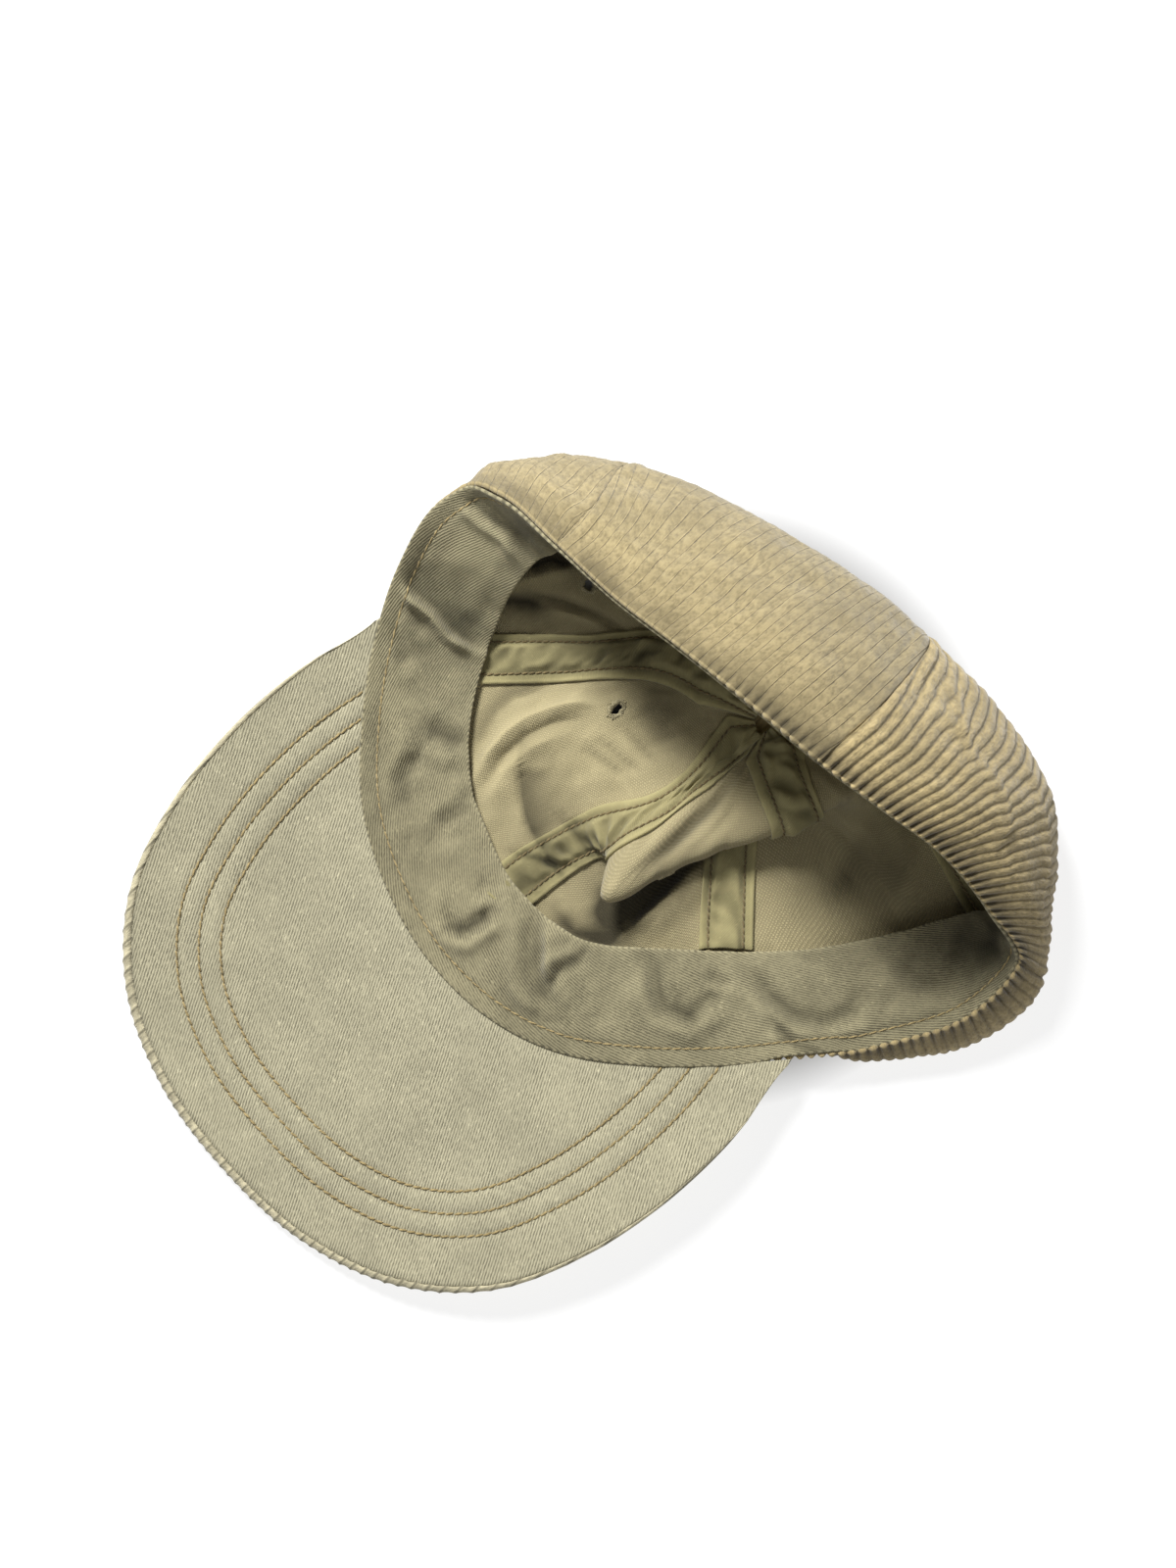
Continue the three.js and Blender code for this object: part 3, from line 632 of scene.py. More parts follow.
def stitches(name, paths, pitch, radius, lift, yarn_name="thread"):
    """Rows of stitches, each a slanted grain of thread that dips into the cloth at both ends.

    Every path is its points and the directions out of the cloth."""
    sides, rings = 6, 5
    ends = 2 * shares(rings - 1) - 1
    swell = radius * np.sqrt(1 - 0.9 * ends ** 2)
    turn = 2 * np.pi * np.arange(sides) / sides
    grains = []
    for points, outward in paths:
        lengths = travelled(points)
        count = max(round(lengths[-1] / pitch), 1)
        at = (np.arange(count)[:, None] + 0.5 + 0.56 * ends[None, :]) * lengths[-1] / count

        def along_path(values):
            return np.stack([np.interp(at, lengths, values[:, k]) for k in range(3)], axis=-1)

        out = unit(along_path(outward))
        way = unit(along_path(np.gradient(points, axis=0)))
        side = unit(np.cross(out, way))
        middle = (along_path(points) + side * (0.55 * radius * ends)[:, None]
                  + out * (lift + radius * (0.35 - 0.75 * ends ** 4))[:, None])
        spread = side[..., None, :] * np.cos(turn)[:, None] + out[..., None, :] * np.sin(turn)[:, None]
        grains.append(middle[..., None, :] + spread * swell[:, None, None])
    points = np.concatenate(grains)
    i = np.arange(len(points))[:, None, None] * rings * sides
    quads = (i + grid_faces(rings, sides, False)[:, [0, 3, 2, 1]]).reshape(-1, 4)
    caps = np.concatenate([
        i[:, 0] + np.arange(sides)[None, ::-1], i[:, 0] + (rings - 1) * sides + np.arange(sides)[None, :]])
    make_piece(
        name, points, [(quads, 0), (caps, 0)], [yarn_name], [], {"cloth": points})


# Cloth materials

# The distance between two ridges of Blender's wave texture at a scale of 1.
WAVE_SCALE = 0.314159


class Nodes:
    """Short names for building one material."""

    def __init__(self, name):
        self.material = bpy.data.materials.new(name)
        self.material.use_nodes = True
        self.tree = self.material.node_tree
        self.shader = self.tree.nodes["Principled BSDF"]

    def add(self, kind, inputs=None, **settings):
        node = self.tree.nodes.new(kind)
        for key, value in settings.items():
            setattr(node, key, value)
        for key, value in (inputs or {}).items():
            if isinstance(value, bpy.types.NodeSocket):
                self.tree.links.new(value, node.inputs[key])
            else:
                node.inputs[key].default_value = value
        return node

    def math(self, operation, a, b=0.0, clamp=False):
        return self.add("ShaderNodeMath", {0: a, 1: b}, operation=operation, use_clamp=clamp).outputs[0]

    def times(self, a, b):
        return self.math("MULTIPLY", a, b)

    def noise(self, vector, scale, detail, roughness):
        return self.add("ShaderNodeTexNoise", {
            "Vector": vector, "Scale": scale, "Detail": detail, "Roughness": roughness}).outputs["Fac"]

    def wave(self, vector, pitch, distortion, detail, detail_scale):
        """Ridges at a pitch in millimetres."""
        return self.add("ShaderNodeTexWave", {
            "Vector": vector, "Scale": WAVE_SCALE / pitch, "Distortion": distortion, "Detail": detail,
            "Detail Scale": detail_scale}).outputs["Fac"]

    def mapping(self, vector, turn=0.0, scale=(1, 1, 1)):
        return self.add("ShaderNodeMapping", {
            "Vector": vector, "Rotation": (0, 0, turn), "Scale": scale}).outputs["Vector"]

    def layer(self, name, output="Fac"):
        return self.add("ShaderNodeAttribute", attribute_name=name).outputs[output]

    def ramp(self, value, low, high, top=1.0, kind="SMOOTHSTEP"):
        return self.add("ShaderNodeMapRange", {
            "Value": value, "From Min": low, "From Max": high, "To Max": top},
            interpolation_type=kind).outputs["Result"]

    def blend(self, factor, a, b):
        node = self.add("ShaderNodeMix", data_type="RGBA")
        for key, value in ((0, factor), (6, a), (7, b)):
            if isinstance(value, bpy.types.NodeSocket):
                self.tree.links.new(value, node.inputs[key])
            else:
                node.inputs[key].default_value = (*value, 1.0) if key else value
        return node.outputs[2]

    def patched(self, base, colour, rows):
        """Other shades of a colour where values are high. Columns: value, low, high, share, shade."""
        for value, low, high, share, shade in rows:
            patches = self.times(self.ramp(value, low, high), share)
            base = self.blend(patches, base, shaded(colour, shade))
        return base

    def toned(self, base, colour, light, dark):
        """The tone layer, which holds painted shade and light as well as the cloth's own changes of tone:
        plus towards a lighter shade of the colour, minus towards a darker one.
        """
        tone = self.layer("tone")
        base = self.blend(self.math("MAXIMUM", tone, 0.0, True), base, shaded(colour, light))
        return self.blend(self.math("MULTIPLY", tone, -1.0, True), base, shaded(colour, dark))

    def set(self, values):
        for key, value in values.items():
            self.shader.inputs[key].default_value = value

    def finish(self, colour, height, relief, roughness=0.9, sheen=0.2):
        """The cloth's colour and its relief in millimetres."""
        self.tree.links.new(colour, self.shader.inputs["Base Color"])
        bump = self.add("ShaderNodeBump", {"Height": height, "Strength": 1.0, "Distance": relief * MM})
        self.tree.links.new(bump.outputs["Normal"], self.shader.inputs["Normal"])
        self.set({"Roughness": roughness, "Specular IOR Level": 0.15, "Sheen Weight": sheen,
                  "Sheen Roughness": 0.5})
        return self.material


def shaded(colour, factor):
    return tuple(c * factor for c in colour)


def twill(name, colour, pitch, angle, contrast, relief, speck, mottle):
    """Diagonal weave: ridges at a pitch in millimetres, flecks of the yarn and slow changes of tone."""
    n = Nodes(name)
    cloth = n.layer("cloth", "Vector")
    turned = n.mapping(cloth, turn=math.radians(angle))
    ridges = n.wave(turned, pitch, 1.1, 1.5, 2.0)
    flecks = n.noise(n.mapping(turned, scale=(1.1, 0.35, 1)), 1.4 / pitch, 2.0, 0.6)
    slow = n.noise(cloth, 0.045, 3.0, 0.55)
    blotch = n.noise(n.mapping(cloth, scale=(1, 1, 0.7)), 0.16, 4.0, 0.6)
    lint = n.noise(n.mapping(turned, scale=(1.6, 0.5, 1)), 0.9, 1.0, 0.5)
    base = n.blend(n.ramp(ridges, 0.15, 0.85), shaded(colour, 1 - contrast), shaded(colour, 1.1))
    base = n.patched(base, colour, [
        (flecks, 0.35, 0.75, speck, 1.4), (slow, 0.35, 0.7, mottle, 0.68),
        (blotch, 0.45, 0.75, mottle, 1.25), (lint, 0.66, 0.74, speck, 1.7)])
    height = n.math("ADD", ridges, n.times(flecks, 0.8))
    return n.finish(n.toned(base, colour, 1.6, 0.12), height, relief)


def weave(name, colour):
    """The corduroy's back: a fine even grain with faint diagonals and slow changes of tone."""
    n = Nodes(name)
    cloth = n.layer("cloth", "Vector")
    turned = n.mapping(cloth, turn=math.radians(35))
    grain = n.noise(n.mapping(turned, scale=(1.0, 0.6, 1)), 1.7, 2.0, 0.7)
    lines, rungs = (n.wave(place, 0.8, 1.8, 2.0, 2.5) for place in (
        turned, n.mapping(cloth, turn=math.radians(110))))
    dots = n.times(lines, rungs)
    slow = n.noise(cloth, 0.04, 3.0, 0.55)
    blotch = n.noise(cloth, 0.14, 4.0, 0.6)
    base = n.blend(n.ramp(grain, 0.34, 0.66), shaded(colour, 0.72), shaded(colour, 1.28))
    base = n.blend(n.times(n.ramp(dots, 0.1, 0.6), 0.5), shaded(colour, 0.7), base)
    base = n.patched(base, colour, [
        (dots, 0.35, 0.8, 0.55, 1.45), (slow, 0.4, 0.7, 0.3, 0.72), (blotch, 0.5, 0.75, 0.25, 1.25)])
    height = n.math("ADD", n.times(grain, 0.6), dots)
    return n.finish(n.toned(base, colour, 1.6, 0.12), height, 0.14)


def pile(name, colour, groove_width, groove_shade, relief=0.35, broken=False):
    """The corduroy's pile: tufts along the wales, painted shade in the grooves, worn in patches.

    Where it is broken, the grooves are thin lines with gaps and a painted highlight beside them."""
    n = Nodes(name)
    cloth = n.layer("cloth", "Vector")
    turn = n.times(n.layer("phase"), math.pi)
    wale = n.math("ABSOLUTE", n.math("SINE", turn))
    tufts = n.noise(n.mapping(cloth, scale=(1.0, 0.4, 1)), 1.5, 2.0, 0.6)
    nap = n.noise(n.mapping(cloth, scale=(1.0, 0.5, 1)), 0.55, 2.0, 0.5)
    slow = n.noise(cloth, 0.05, 3.0, 0.55)
    base = n.blend(n.ramp(tufts, 0.32, 0.68), shaded(colour, 0.84), shaded(colour, 1.22))
    base = n.patched(base, colour, [(nap, 0.38, 0.66, 0.66, 1.56), (slow, 0.4, 0.7, 0.4, 0.74)])
    depth = n.math("ADD", wale, n.times(n.math("SUBTRACT", tufts, 0.5), 0.25))
    groove = n.math("SUBTRACT", 1.0, n.ramp(depth, 0.0, groove_width))
    if broken:
        gaps = n.noise(n.mapping(cloth, scale=(1.0, 0.35, 1)), 0.4, 2.0, 0.6)
        groove = n.times(groove, n.ramp(gaps, 0.38, 0.62))
        # A painted highlight on one side of each groove, broken like the grooves.
        side = n.ramp(n.math("SINE", n.times(turn, 2.0)), 0.1, 0.4)
        painted_highlight = n.times(side, n.math("SUBTRACT", 1.0, n.ramp(wale, 0.3, 0.5)))
        painted_highlight = n.times(painted_highlight, n.times(n.ramp(gaps, 0.4, 0.6), 0.5))
        base = n.blend(painted_highlight, base, shaded(colour, 2.0))
    # Painted shade in the grooves.
    base = n.blend(n.times(groove, groove_shade), base, shaded(colour, 0.3))
    height = n.math("ADD", tufts, n.times(nap, 0.5))
    height = n.math("ADD", height, n.times(n.ramp(wale, 0.0, groove_width), 0.6))
    return n.finish(n.toned(base, colour, 1.5, 0.3), height, relief, roughness=0.95, sheen=0.3)


def yarn(name, colour):
    """Yarn for threads."""
    n = Nodes(name)
    grain = n.noise(n.layer("cloth", "Vector"), 0.9, 2.0, 0.6)
    return n.finish(n.blend(n.ramp(grain, 0.3, 0.7), shaded(colour, 0.7), shaded(colour, 1.25)), grain, 0.12)


THREAD_COLOUR = (0.33, 0.255, 0.12)

# Columns of twill: name, colour, pitch, angle, contrast, relief, specks, mottling.
MATERIALS = {
    "corduroy_flat": pile("corduroy_flat", (0.255, 0.206, 0.108), 0.22, 0.8, 0.22, broken=True),
    "corduroy_ribbed": pile("corduroy_ribbed", (0.33, 0.26, 0.13), 0.75, 0.36),
    "corduroy_edge": pile("corduroy_edge", (0.42, 0.38, 0.255), 0.6, 0.75, 0.25),
    "inside": weave("corduroy_back", (0.455, 0.39, 0.22)),
    "tape": twill("tape_cotton", (0.31, 0.273, 0.135), 0.5, 45, 0.12, 0.05, 0.35, 0.55),
    "band": twill("band_twill", (0.28, 0.25, 0.152), 0.76, -72, 0.64, 0.12, 0.45, 0.4),
    "bill": twill("bill_twill", (0.42, 0.388, 0.264), 0.8, -29, 0.62, 0.1, 0.5, 0.25),
    "thread": yarn("thread", THREAD_COLOUR),
    "seam_thread": yarn("seam_thread", shaded(THREAD_COLOUR, 0.5)),
    "eyelet": yarn("eyelet_thread", (0.36, 0.315, 0.19)),
}


# The crown

def shaped(along, up):
    """The crown's outer face with its wrinkles, its directions, the shade and light painted along both sides'
    creases and the outer folds.
    """
    base = crown(along, up)
    across, upward, inward = directions(along, up)
    cloth = stacked(round_rim(along), up * PANEL_LENGTH, 0 * up)
    ease = step(up, 0.0, 0.12) * (1 - step(up, 0.86, 0.96))
    wrinkle = 0.6 * noise(cloth, 17, 3) + 0.4 * noise(cloth, 7, 4)
    # Shade and light painted along the creases of the crown's inside.
    rise, inner_painted_light = creased(base, INSIDE_CREASES, crown, power=1.5)
    rise, inner_painted_light = INSIDE_RISE * rise, INSIDE_PAINTED_LIGHT * inner_painted_light
    swell, outer_tone = creased(base, OUTSIDE_CREASES, crown)
    clear = step(up, 0.17, 0.3)
    base = above(base + inward * ((wrinkle + rise * clear) * ease - swell)[..., None])
    return base, across, upward, inward, inner_painted_light, outer_tone, swell


def seam_along(seam):
    return -RIM_LENGTH / 2 + seam * PANEL_WIDTH


def panel(name, seam, eyelet_along, eyelet_up, depth, roundness, columns, rows):
    """A panel with its wales, the pull of its seams' stitches, its rim and the hole for its eyelet."""
    half = PANEL_WIDTH / 2
    middle = seam_along(seam) + half
    along, up = np.meshgrid(middle + np.linspace(-half, half, columns + 1),
                            np.linspace(0, PANEL_END, rows + 1), indexing="ij")
    stretch = stretch_of(directions(along, up)[0])
    along = middle + (along - middle) * (1 - PANEL_SPACE / stretch / half)
    base, across, upward, inward, inner_painted_light, outer_tone, swell = shaped(along, up)
    width = (along - middle) * wale_taper(up)
    height = up * PANEL_LENGTH
    cloth = stacked(width, height, seam * CLOTH_SHIFT)

    # Wales that wander a little
    wobble = 0.16 * noise(stacked(width * 0.6, height, 0 * up), 13, 20 + seam)
    phase = width / WALE_PITCH + wobble + 0.5 * swell
    wale = ribs(phase, roundness)
    tufts = 0.14 * noise(cloth, 1.3, 7) * wale

    # Stitches at the seams and puckers between them
    to_seam = (half - np.abs(along - middle)) * stretch_of(across)
    lumps = 0.5 + 0.5 * np.sin(2 * np.pi * up * PANEL_LENGTH / STITCH)
    pucker = noise(stacked(width * 0.35, height, seam * CLOTH_SHIFT), 2.1, 9)
    dip = 0.3 * bell(to_seam, 0.6) + (0.1 + 0.25 * lumps) * bell(to_seam - SEAM_ROWS, 0.8)
    dip -= (0.3 + 0.35 * pucker) * bell(to_seam - SEAM_PILLOW, 2.0)
    dip *= (1 - step(up, 0.9, 0.96)) * step(up, 0.0, 0.03)

    # The rim, beaded by the wales on the right side and corded on the left
    flat = seam in FLAT_PANELS
    beaded = 1 - step(along, -284, -226) if seam == 0 else (seam >= BEADED_FROM) + 0 * along
    rim_groove = beaded * bell(height, 4.0) * (1 - wale)
    bulge = 0.75 + beaded[:, 0] * (0.8 * ribs(phase[:, 0], 0.5) - 0.1)
    cord = 0.3 + 0.25 * np.sin(2 * np.pi * along[:, 0] / 1.5) if flat else 0.12 + 0 * along[:, 0]
    # The outer face is darker along the rim, with painted shade in the grooves between the beads.
    rim_darkening = -0.5 * bell(height - 2, 8) * (1 + 0.5 * noise(cloth, 9, 8)) - 1.2 * rim_groove

    outer = above(base + inward * (depth * (1 - wale) + 0.8 * rim_groove + dip - tufts)[..., None])
    inner = base + inward * CORDUROY
    spot = crown(np.array(eyelet_along), np.array(eyelet_up))
    centre = (base[:-1, :-1] + base[1:, 1:]) / 2
    near = ((np.abs(along[:-1, :-1] - eyelet_along) < HOLE_ALONG)
            & (np.abs(up[:-1, :-1] - eyelet_up) < HOLE_UP))
    cut = (length(centre - spot) < HOLE) & near
    way = unit(upward)
    points = walled(outer, inner, -way[:, 0], way[:, -1], bulge[:, None], 0.5)
    first, second, edges = loop_faces(len(points), points.shape[1], rows, False, cut)
    make_piece(
        "panel_" + name, points, [(first, 0), (second, 1), (edges, 0)],
        ["corduroy_flat" if flat else "corduroy_ribbed", "inside"],
        ["crown_panel_" + name], {
            "cloth": looped(cloth), "phase": looped(phase),
            "tone": looped(outer_tone + rim_darkening, inner_painted_light, cord * (1 - beaded[:, 0]))})


def tape(name, seam):
    """A strip of cotton tape over a seam, held down by two rows of stitches."""
    columns, rows = 24, 110
    centre = seam_along(seam)
    up = np.linspace(TAPE_START, PANEL_END, rows + 1)[None, :]
    side = np.linspace(-1, 1, columns + 1)[:, None]
    stretch = stretch_of(directions(np.full(up.shape, centre), up)[0])
    reach = np.minimum(TAPE_WIDTH / 2 / stretch, PANEL_WIDTH / 2 - 0.4 / stretch)
    along, up, side = np.broadcast_arrays(centre + side * reach, up, side)
    base, _, upward, inward, tone, _, _ = shaped(along, up)
    place = side * TAPE_WIDTH / 2
    cloth = stacked(place, up * PANEL_LENGTH, seam * CLOTH_SHIFT)
    bias = stacked(place * 0.9 + up * PANEL_LENGTH * 0.5, up * PANEL_LENGTH * 0.8, 0 * up)
    puckers = noise(bias, 3.8, 30 + seam)
    pillow = step(SEAM_ROWS - np.abs(place), 0, 2.2)
    groove = bell(np.abs(place) - SEAM_ROWS, 0.7)
    height = (TAPE_GAP + TAPE_CLOTH + pillow * (1.0 + 1.5 * puckers) - 0.3 * groove
              + 0.15 * noise(cloth, 3, 31))
    # Lighter along the folded edges, with painted shade in the stitch grooves and in the dips between the
    # puckers.
    edge_and_painted_shade = 0.3 * step(np.abs(place), 6.4, 7.4) - 0.25 * groove - 0.5 * np.clip(-puckers, 0, 1) * pillow
    under = base + inward * (CORDUROY + 0.1)
    over = base + inward * (CORDUROY + height)[..., None]
    way = unit(upward)
    points = walled(under, over, -way[:, 0], way[:, -1], 0.5, 0.5)
    make_wall(
        "tape_" + name, points, rows, False, "tape", ["seam_tape_" + name],
        {"cloth": looped(cloth), "tone": looped(tone + edge_and_painted_shade)})
    paths = []
    for row in (-SEAM_ROWS, SEAM_ROWS):
        at = (row / TAPE_WIDTH + 0.5) * columns
        low = int(at)
        paths.append((mix(over[low], over[low + 1], at - low), inward[low]))
    stitches("stitches_tape_" + name, paths, 2.1, 0.38, 0.05, "seam_thread")


def eyelet(name, along, up, seed):
    """Threads sewn round a hole in the cloth."""
    steps = 7
    columns, count = EYELET_THREADS * steps, 14
    draw = np.random.default_rng(seed)
    turn = 2 * np.pi * np.arange(columns)[:, None] / columns
    round_section = 2 * np.pi * np.arange(count)[None, :] / count
    thread = np.abs(np.sin(turn * EYELET_THREADS / 2)) ** 0.6
    far = EYELET_REACH + np.repeat(draw.uniform(-0.5, 0.35, EYELET_THREADS), steps)[:, None]
    bore = EYELET_BORE + 0.3 * np.sin(2 * turn + seed) + 0.15 * np.sin(5 * turn)
    wide, tall = np.cos(round_section), np.sin(round_section)
    wide = np.sign(wide) * np.abs(wide) ** 0.7
    tall = np.sign(tall) * np.abs(tall) ** 0.7
    reach = (bore + far) / 2 + (far - bore) / 2 * wide
    low, high = -0.12 - 0.1 * thread, CORDUROY + 0.15 + 0.4 * thread
    height = (low + high) / 2 + (high - low) / 2 * tall * (1 - 0.35 * step(wide, 0.3, 1))
    across, upward, _ = directions(np.array(along), np.array(up))
    spot_along = along + reach * np.cos(turn) / length(across)
    spot_up = up + reach * np.sin(turn) / length(upward)
    base, _, _, inward, _, _, _ = shaped(spot_along, spot_up)
    points = above(base + inward * height[..., None])
    make_piece(
        "eyelet_ring_" + name, points, [(grid_faces(columns, count), 0)], ["eyelet"],
        ["eyelet_" + name], {"cloth": points})


def button():
    """The button on top of the crown, covered in corduroy."""
    low, high = (np.array(corner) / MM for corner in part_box("top_button"))
    middle, radius, tall = (low + high) / 2 - CENTRE_SHIFT, (high[0] - low[0]) / 2, high[2] - low[2]
    columns, count = 96, 22
    turn = 2 * np.pi * np.arange(columns)[:, None] / columns
    lift = np.pi * (np.arange(count)[None, :] + 0.5) / count - np.pi / 2
    reach = radius * np.cos(lift) ** 0.55
    points = middle + stacked(reach * np.cos(turn), reach * np.sin(turn), tall / 2 * np.sin(lift))
    phase = (points[..., 0] - middle[0]) / WALE_PITCH
    dent = 0.35 * (1 - ribs(phase, 0.8))
    points = points + (middle - points) * (dent / radius)[..., None]
    faces = [grid_faces(columns, count, True, False), np.arange(columns)[None, ::-1] * count,
             np.arange(columns)[None, :] * count + count - 1]
    make_piece(
        "button_corduroy", points, [(group, 0) for group in faces], ["corduroy_ribbed"],
        ["top_button"], {"cloth": points, "phase": phase, "tone": 0 * phase})


for panel_row in PANELS:
    panel(*panel_row)
    eyelet(panel_row[0], panel_row[2], panel_row[3], panel_row[1] + 1)
for number, tape_name in enumerate(TAPES):
    tape(tape_name, number)
button()


# The sweatband

def band_side(along, down):
    """The sweatband's side that faces the crown, from the rim (0) to its free edge (1)."""
    around = round_rim(along)

    def inner(up, off):
        base = crown(around, up)
        return base + directions(around, up)[2] * off[..., None]

    lining = inner(BAND_REACH * down, CORDUROY + GAP + BAND_SLACK * down)
    row = through(BAND_EDGE, around)
    near = (around > BAND_EDGE[0, 0]) & (around < BAND_EDGE[-1, 0])
    free = np.where(near, np.clip(row[..., 0], 0, 1), 0)[..., None]
    taut = mix(inner(0 * down, CORDUROY + GAP + 0 * down), row[..., 1:4], down[..., None])
    return mix(lining, taut, free)


def sweatband():
    """The loop of twill inside the rim, with its folds, its row of stitches and its lip over the rim."""
    columns, rows = 640, 34
    along = (np.arange(columns) / columns - 0.5) * RIM_LENGTH
    along, down = np.meshgrid(along, shares(rows), indexing="ij")
    side = band_side(along + 1, down) - band_side(along - 1, down)
    rise = unit(band_side(along, np.minimum(down + 0.02, 1)) - band_side(along, np.maximum(down - 0.02, 0)))
    normal = unit(np.cross(side, rise))
    base = band_side(along, down)
    cloth = stacked(along, down * BAND_WIDTH, 0 * down)
    folds, tone = creased(base, BAND_CREASES, band_side, 0.6, 1.3)
    folds, tone = BAND_RISE * folds * (1 - 0.6 * step(down, 0.85, 1.0)), BAND_PAINTED_LIGHT * tone
    folds = np.where(folds < 0, DEEPEST * np.tanh(folds / DEEPEST), folds)
    ripple = 0.4 * noise(cloth, 14, 40) + 0.3 * noise(cloth, 6, 41)
    loose = step(down, 0.02, 0.2)
    row = bell(down * BAND_WIDTH - BAND_ROW, 0.7)
    lip = bell(down * BAND_WIDTH, 1.8) * step(along, -178, -160) * (1 - step(along, 104, 116))
    base = base - rise * (LIP * lip)[..., None] + normal * (0.5 * lip)[..., None]
    cloth[..., 1] -= LIP * lip
    inside = base + normal * (BAND_CLOTH + (ripple + folds) * loose - 0.35 * row)[..., None]
    outside = base + normal * (np.minimum(folds, 0) * loose)[..., None]
    points = walled(above(outside), above(inside, 0.4), -rise[:, 0], rise[:, -1])
    # Painted shade in the groove of the stitch row, lighter along the free edge, and slow changes of tone.
    tone = tone - 0.3 * row + 0.15 * bell(down * BAND_WIDTH - BAND_WIDTH, 0.8)
    tone += 0.14 * noise(cloth, 18, 42) + 0.12 * noise(cloth, 5, 43)
    make_wall(
        "sweatband_cloth", points, rows, True, "band", ["sweatband"],
        {"cloth": looped(cloth), "tone": looped(0 * tone, tone)})
    at = BAND_ROW / BAND_WIDTH * rows
    low = int(at)
    path = mix(inside[:, low], inside[:, low + 1], at - low)
    stitches("stitches_band", [(path, normal[:, low])], 2.9, 0.27, -0.02)


sweatband()


# The bill

def bill_outline():
    """The bill's outline from left to right, with the distance round it in the first column."""
    off, y = BILL_EDGE.T
    lean = BILL_LEAN * (BILL_EDGE[0, 1] - y) / BILL_LENGTH
    left = np.stack([BILL_AXIS - off + lean, y], axis=-1)
    right = np.stack([BILL_AXIS + off + lean, y], axis=-1)
    outline = np.concatenate([left, right[:-1][::-1]])
    return np.concatenate([travelled(outline)[:, None], outline], axis=1)


BILL_OUTLINE = bill_outline()


def bill_rise(x):
    """How far the bill's sides curl up."""
    off = np.maximum(np.abs(x - BILL_AXIS) - BILL_FLAT, 0) / (BILL_REACH - BILL_FLAT)
    return BILL_CURL * off ** 2


def bill_line(share):
    """Both ends of lines across the bill, from the seam to the outline. They shorten at its corners."""
    along = BILL_FROM + (BILL_TO - BILL_FROM) * share
    rim = crown(along, 0 * along)
    upward = directions(along, 0 * along)[1]
    away = unit(-upward[..., :2])
    seam = rim[..., :2] + away * (GAP + 0.1)
    from_corner = step(np.minimum(share, 1 - share), -0.002, CORNER_SHARE)
    corner = CORNER + (1 - CORNER) * np.sqrt(from_corner)[:, None]
    return seam, mix(seam, through(BILL_OUTLINE, BILL_OUTLINE[-1, 0] * share), corner)


def bill_place(seam, edge, inset, height):
    """Points of the bill at distances in from its outline and heights above its lower face."""
    span = length(edge - seam)[:, None]
    t = (1 - inset / span)[..., None]
    plan = seam[:, None] + (edge - seam)[:, None] * t
    return np.concatenate([plan, (bill_rise(plan[..., 0]) + height)[..., None]], axis=-1)


def rim_middle():
    """A place in plan from which the rim along the bill is seen evenly."""
    along = np.linspace(BILL_FROM, BILL_TO, 12)
    return crown(along, 0 * along)[:, :2].mean(axis=0) + np.array([0.0, 60.0])


def bill_underside():
    """The bill's twill face with its rows of stitches."""
    columns, rows = 300, 80
    share = shares(columns)
    seam, edge = bill_line(share)
    span = length(edge - seam)
    reach = np.minimum(WRAP_LEFT + (WRAP_RIGHT - WRAP_LEFT) * share + 0.25, 0.5 * span)
    inset = span[:, None] + (reach - span)[:, None] * shares(rows)[None, :]
    low = bill_place(seam, edge, inset, COVER + GAP + 0 * inset)
    outline = through(BILL_OUTLINE, np.linspace(0, BILL_OUTLINE[-1, 0], 700))
    from_edge = np.full(inset.shape, 1e9)
    for point in outline:
        from_edge = np.minimum(from_edge, np.hypot(low[..., 0] - point[0], low[..., 1] - point[1]))
    groove = sum(bell(from_edge - d, 0.8) for d in BILL_STITCHES)
    pillow = sum(bell(from_edge - d - 3.2, 2.2) for d in BILL_STITCHES[:2])
    cloth = stacked(low[..., 0], low[..., 1], 0 * inset)
    height = BILL_CREST - 0.4 * groove + 0.2 * pillow + 0.15 * noise(cloth, 9, 50)
    high = bill_place(seam, edge, inset, height)
    outward = unit(np.concatenate([edge - seam, np.zeros((len(seam), 1))], axis=-1))
    points = walled(low[:, ::-1], high[:, ::-1], outward, -outward, 0.5, 0.5)
    # Painted shade in the stitch grooves, slow changes of tone, and darker along the lining's edge.
    tone = -0.14 * groove + 0.07 * noise(cloth, 20, 51) + 0.05 * noise(cloth, 6, 52)
    tone -= 0.3 * bell(inset - reach[:, None], 0.7)
    make_wall(
        "bill_lining", points, rows, False, "bill", ["bill_underside"],
        {"cloth": looped(cloth[:, ::-1]), "tone": looped(tone[:, ::-1])})
    way = unit(np.gradient(outline, axis=0))
    away = unit(seam - rim_middle())
    paths = []
    for distance in BILL_STITCHES:
        row = outline + np.stack([-way[:, 1], way[:, 0]], axis=-1) * distance
        nearest = np.argmin(length(row[:, None] - seam[None]), axis=1)
        on_bill = np.einsum("ij,ij->i", row - seam[nearest], away[nearest]) > 0.3
        row = row[on_bill]
        rise = bill_rise(row[:, 0]) + BILL_CREST - 0.22
        paths.append((stacked(row[:, 0], row[:, 1], rise), stacked(0 * rise, 0, 1)))
    stitches("stitches_bill", paths, STITCH, THREAD, 0.05)


